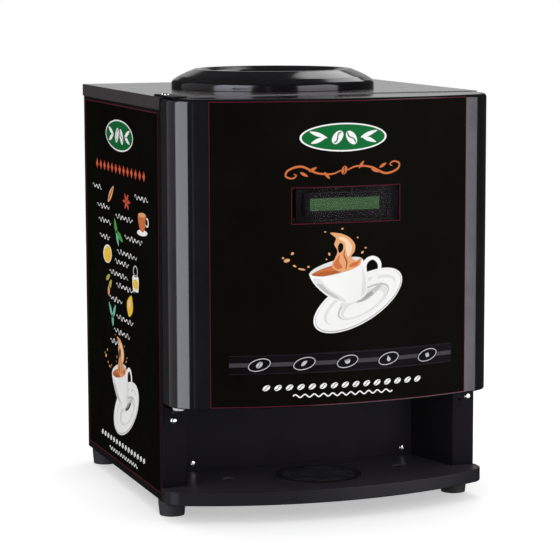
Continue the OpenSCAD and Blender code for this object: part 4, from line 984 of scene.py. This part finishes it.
def build_seat():
    t = TOP_Z
    outline = [(SEAT_R, 0), (SEAT_R, 8.6), (SEAT_R - 9.6, 14.8), (SEAT_R - 18, 18.8), (SEAT_RIM + 2, SEAT_H),
               (SEAT_RIM - 4, SEAT_H), (SEAT_RIM - 12, SEAT_H - 4), (58, 2), (38, -16), (NECK_R + 1.5, -22),
               (NECK_R, -24), (NECK_R, -46), (NECK_R + 3, -46), (NECK_R + 3, -24), (40, -19), (61, -1),
               (SEAT_RIM - 12, 15), (SEAT_RIM, SEAT_H - 5), (SEAT_R - 20, SEAT_H - 8), (SEAT_R - 9, 8),
               (SEAT_R - 3.5, 5), (SEAT_R - 3.5, 0)]
    radii = [0.6, 7, 12, 9, 6, 2.4, 6, 10, 8, 3, 2, 0.8, 0.8, 2, 6, 8, 6, 4, 4, 2, 2, 0.5]
    section = [(r, t + z) for r, z in round_corners(outline, radii, 7)]
    ring = lathe(section, 0, SEAT_Y, 160)
    hole = 100
    collar = [(hole - 3.4, -4), (hole - 0.4, -4), (hole - 0.4, 18), (hole - 3.4, 18)]
    inner = lathe([(r, t + z) for r, z in round_corners(collar, 0.6, 3)], 0, SEAT_Y, 96)
    piece("bottle_seat_ring", join([ring, inner]), "seat", SEAT_FINISH, ["bottle_seat"], 40)


def cad_mesh(node):
    """A CAD node's mesh in millimetres from the front plane."""
    bm = bmesh.new()
    bm.from_mesh(frame["nodes"][node].data)
    bmesh.ops.remove_doubles(bm, verts=bm.verts, dist=1e-6)
    for v in bm.verts:
        v.co = Vector((v.co.x / MM, v.co.y / MM - FRONT_Y, v.co.z / MM))
    return bm


def islands(node):
    """The separate solids of a CAD node, as lists of points."""
    bm = cad_mesh(node)
    left, found = set(bm.verts), []
    while left:
        stack, group = [left.pop()], []
        while stack:
            v = stack.pop()
            group.append(v.co.copy())
            near = {e.other_vert(v) for e in v.link_edges} & left
            left -= near
            stack += near
        found.append(group)
    bm.free()
    return found


def head_height(r):
    return 1.6 if r > 3.6 else 1.2


def screw_head(r):
    """A domed head on the plane Z = 0 with a cross recess."""
    h, n = head_height(r), 7
    dome = [(0.0001, 0), (r, 0), (r, h * 0.25)]
    dome += [(r * cos(a), h * 0.25 + h * 0.75 * sin(a)) for a in (pi / 2 * k / n for k in range(1, n))]
    bm = lathe(dome + [(0.0001, h)], 0, 0, 40)
    bmesh.ops.remove_doubles(bm, verts=bm.verts, dist=0.001)
    cuts = []
    for a in (0, pi / 2):
        cut = loft([[(-u * r, -v * r, z), (u * r, -v * r, z), (u * r, v * r, z), (-u * r, v * r, z)]
                    for u, v, z in ((0.3, 0.18, h * 0.3), (0.56, 0.2, h + 1))])
        bmesh.ops.rotate(cut, cent=(0, 0, 0), matrix=Matrix.Rotation(a, 3, "Z"), verts=cut.verts)
        cuts.append(cut)
    return carve(bm, cuts)


def widest_end(points, lo, hi):
    """The end of a screw that carries its head: its radius, its axis and the axis's sign."""
    best = None
    for k in range(3):
        i = 1 if k == 0 else 0
        for sign, end, other in ((1, hi[k], lo[k]), (-1, lo[k], hi[k])):

            def spread(level):
                across = [p[i] for p in points if abs(p[k] - level) < 0.05]
                return max(across) - min(across)

            wide = spread(end)
            if (best is None or wide > best[0] * 2 + 0.2) and spread(other) < wide - 1:
                best = (wide / 2, k, sign)
    return best


def build_screws():
    """Every screw of the CAD node again, with a domed cross head, and the bolts of the feet."""
    heads, out = {}, []
    for points in islands("screws"):
        lo = Vector([min(p[k] for p in points) for k in range(3)])
        hi = Vector([max(p[k] for p in points) for k in range(3)])
        if hi.z - lo.z > FOOT_BOLT:
            continue
        r, k, sign = widest_end(points, lo, hi)
        key = round(r, 1)
        if key not in heads:
            heads[key] = as_object(screw_head(r))
        head = bmesh.new()
        head.from_mesh(heads[key].data)
        axis = Vector([sign if n == k else 0 for n in range(3)])
        foot, tip = (lo + hi) / 2, (lo + hi) / 2
        foot[k] = (hi[k] if sign > 0 else lo[k]) - sign * head_height(r)
        tip[k] = lo[k] if sign > 0 else hi[k]
        turn = Vector((0, 0, 1)).rotation_difference(axis).to_matrix().to_4x4()
        bmesh.ops.transform(head, matrix=Matrix.Translation(foot) @ turn, verts=head.verts)
        out += [head, rod(foot + axis * 0.1, tip, 1.95, 20)]
    for ob in heads.values():
        bpy.data.objects.remove(ob)
    for x in (-(BODY_HALF - 17), BODY_HALF - 17):
        for y in (22, panel_hi.y + 1.4 - 22):
            for z0, z1, r, n in ((5, 9, 5, 32), (5, 22, 2.5, 20), (21.2, 25.2, 4.6, 6)):
                out.append(rod((x, y, z0), (x, y, z1), r, n))
    piece("screws_detailed", join(out), "cabinet", FINISH["bright"], ["screws"], 30)


# ---- CAD shapes with rounded edges

SLOT = {s["node"]: s["material_slot"] for s in frame["record"]["subparts"]}
BODY = {n: b for b, nodes in frame["record"]["behaviour"]["bodies"].items() for n in nodes}
EDGE = {node: width for width, nodes in {
    0.08: "side_films",
    0.15: "control_board",
    0.2: "keypad_board",
    0.25: "lock_cylinder display_module",
    0.3: "rear_panel base_pan niche_liner niche_ceiling lock_strike whipper_panel canister_shelf motor_panel "
         "hinge_bushes fan_rotor",
    0.35: "lock_body",
    0.4: "solenoid_valves",
    0.45: "left_side_panel right_side_panel",
    0.5: "hinge_brackets nozzle_bracket power_inlet power_rocker",
    0.6: "strainer door_inner_panel power_supply fan_frame boiler",
    0.7: "auger_motors whipper_motors",
    0.8: "rubber_feet left_canister right_canister left_canister_lid right_canister_lid",
    0.9: "top_cover cold_tank",
}.items() for node in nodes.split()}
# The nozzle bracket takes the tray's finish, with its painted edge highlight.
LOOK = {"niche_liner": NICHE_FINISH, "niche_ceiling": NICHE_FINISH, "strainer": STRAINER_FINISH,
        "hinge_brackets": FINISH["black_coat"], "nozzle_bracket": TRAY_FINISH}


def dress_nodes():
    """Gives each CAD node its finish; one in EDGE is replaced by a copy with rounded edges."""
    for node, ob in frame["nodes"].items():
        if ob.hide_render:
            continue
        look = LOOK.get(node) or FINISH[SLOT[node]]
        if node not in EDGE:
            ob.data.materials.clear()
            ob.data.materials.append(look)
            continue
        bm = bevel_edges(cad_mesh(node), EDGE[node])
        piece(node + "_finished", bm, BODY[node], look, [node], 31)


# ---- studio


def card(name, at, target, width, height, radiance, colour=(1, 1, 1), fill=False):
    """A softbox of even radiance facing target. It only draws reflections, or a fill only lights."""
    light = bpy.data.lights.new(name, "AREA")
    light.shape, light.size, light.size_y = "RECTANGLE", width, height
    light.energy, light.color = radiance * pi * width * height, colour
    ob = new_object(name, light)
    ob.location = at
    ob.rotation_mode = "QUATERNION"
    ob.rotation_quaternion = (Vector(target) - Vector(at)).to_track_quat("-Z", "Y")
    ob.visible_camera = False
    ob.visible_diffuse = fill
    ob.visible_glossy = not fill


def upright(name, a, b, z0, z1, radiance, colour=(1, 1, 1)):
    """A standing softbox between two points of the plan, facing the machine, for reflections only."""
    a, b = Vector(a), Vector(b)
    middle = (a + b) / 2
    normal = (b - a).normalized().orthogonal()
    if normal.dot(-middle) < 0:
        normal = -normal
    z = (z0 + z1) / 2
    card(name, (*middle, z), (*(middle + normal), z), (b - a).length, z1 - z0, radiance, colour)


def studio():
    """A white sky that glossy surfaces hardly see, a pale floor and softboxes, in metres."""
    seen, mirrored_sky, lighting = 1.0, 0.05, 0.62
    bpy.context.scene.view_settings.view_transform = "Standard"
    world = bpy.data.worlds.new("studio")
    bpy.context.scene.world = world
    world.use_nodes = True
    tree = world.node_tree
    tree.nodes.clear()

    def sky(level):
        return add(tree, "ShaderNodeBackground", {"Color": (1, 1, 1, 1), "Strength": level})

    def choose(ray, no, yes):
        return add(tree, "ShaderNodeMixShader", {0: add(tree, "ShaderNodeLightPath", {}, ray), 1: no, 2: yes})

    light = choose("Is Glossy Ray", sky(lighting), sky(mirrored_sky))
    light = choose("Is Camera Ray", light, sky(seen))
    tree.links.new(light, tree.nodes.new("ShaderNodeOutputWorld").inputs[0])

    bm = bmesh.new()
    bmesh.ops.create_grid(bm, x_segments=24, y_segments=24, size=15)
    floor = new_object("floor", as_mesh(bm, "floor"))
    floor.data.materials.append(
        surface("studio_floor", (0.93, 0.93, 0.93), 0.8, grain=200, bump=0.02, mottle=0.01,
                Specular_IOR_Level=0.1, Emission_Color=(1, 1, 1, 1), Emission_Strength=0.45))
    floor.visible_glossy = False

    upright("softbox_left", (-0.98, -1.05), (-1.3, -0.08), -0.3, 1.6, 5.3, (0.87, 0.87, 1))
    upright("softbox_left_rear", (-1.3, -0.07), (-1.02, 1.3), -0.6, 1.6, 0.4, (1, 0.94, 0.98))
    upright("softbox_right", (0.3, -2.0), (1.18, -0.755), -0.3, 1.6, 3.2, (0.96, 0.92, 1))
    upright("card_front", (-1.3, -2.6), (-1.04, -2.6), -0.5, 1.6, 0.34)
    card("card_back", (0.95, 2.4, 0.75), (0.2, 0, 0.5), 1.7, 1.5, 0.45)
    card("softbox_high", (0.84, 0.86, 1.45), (0.05, -0.05, 0.5), 0.6, 0.75, 2.2)
    card("fill_top", (0.1, 0.1, 1.9), (0, 0.05, 0.5), 1.1, 1.0, 2.6, fill=True)
    card("fill_front", (-0.45, -3.0, 1.2), (0, 0, 0.35), 1.6, 1.3, 2.4, fill=True)


def camera():
    """The camera fitted to the photograph: focal length in its pixels, place in local millimetres."""
    azimuth, pitch, roll = radians(-19.22), radians(7.58), radians(-0.15)
    focal_px, frame_px, sensor = 2260.52, 560, 36
    ahead = Vector((-sin(azimuth) * cos(pitch), cos(azimuth) * cos(pitch), -sin(pitch)))
    cam = bpy.data.cameras.new("camera")
    cam.sensor_width = sensor
    cam.lens = focal_px / frame_px * sensor
    cam.clip_start, cam.clip_end = 0.05, 50
    ob = new_object("camera", cam)
    ob.location = Vector((-931.82, -2520.79 + FRONT_Y, 634.65)) * MM
    ob.rotation_mode = "QUATERNION"
    ob.rotation_quaternion = ahead.to_track_quat("-Z", "Y") @ Matrix.Rotation(roll, 4, "Z").to_quaternion()
    bpy.context.scene.camera = ob


camera()
build_door()
build_front_sheets()
build_display()
build_keys()
build_prints()
build_tray()
build_seat()
build_screws()
dress_nodes()
studio()
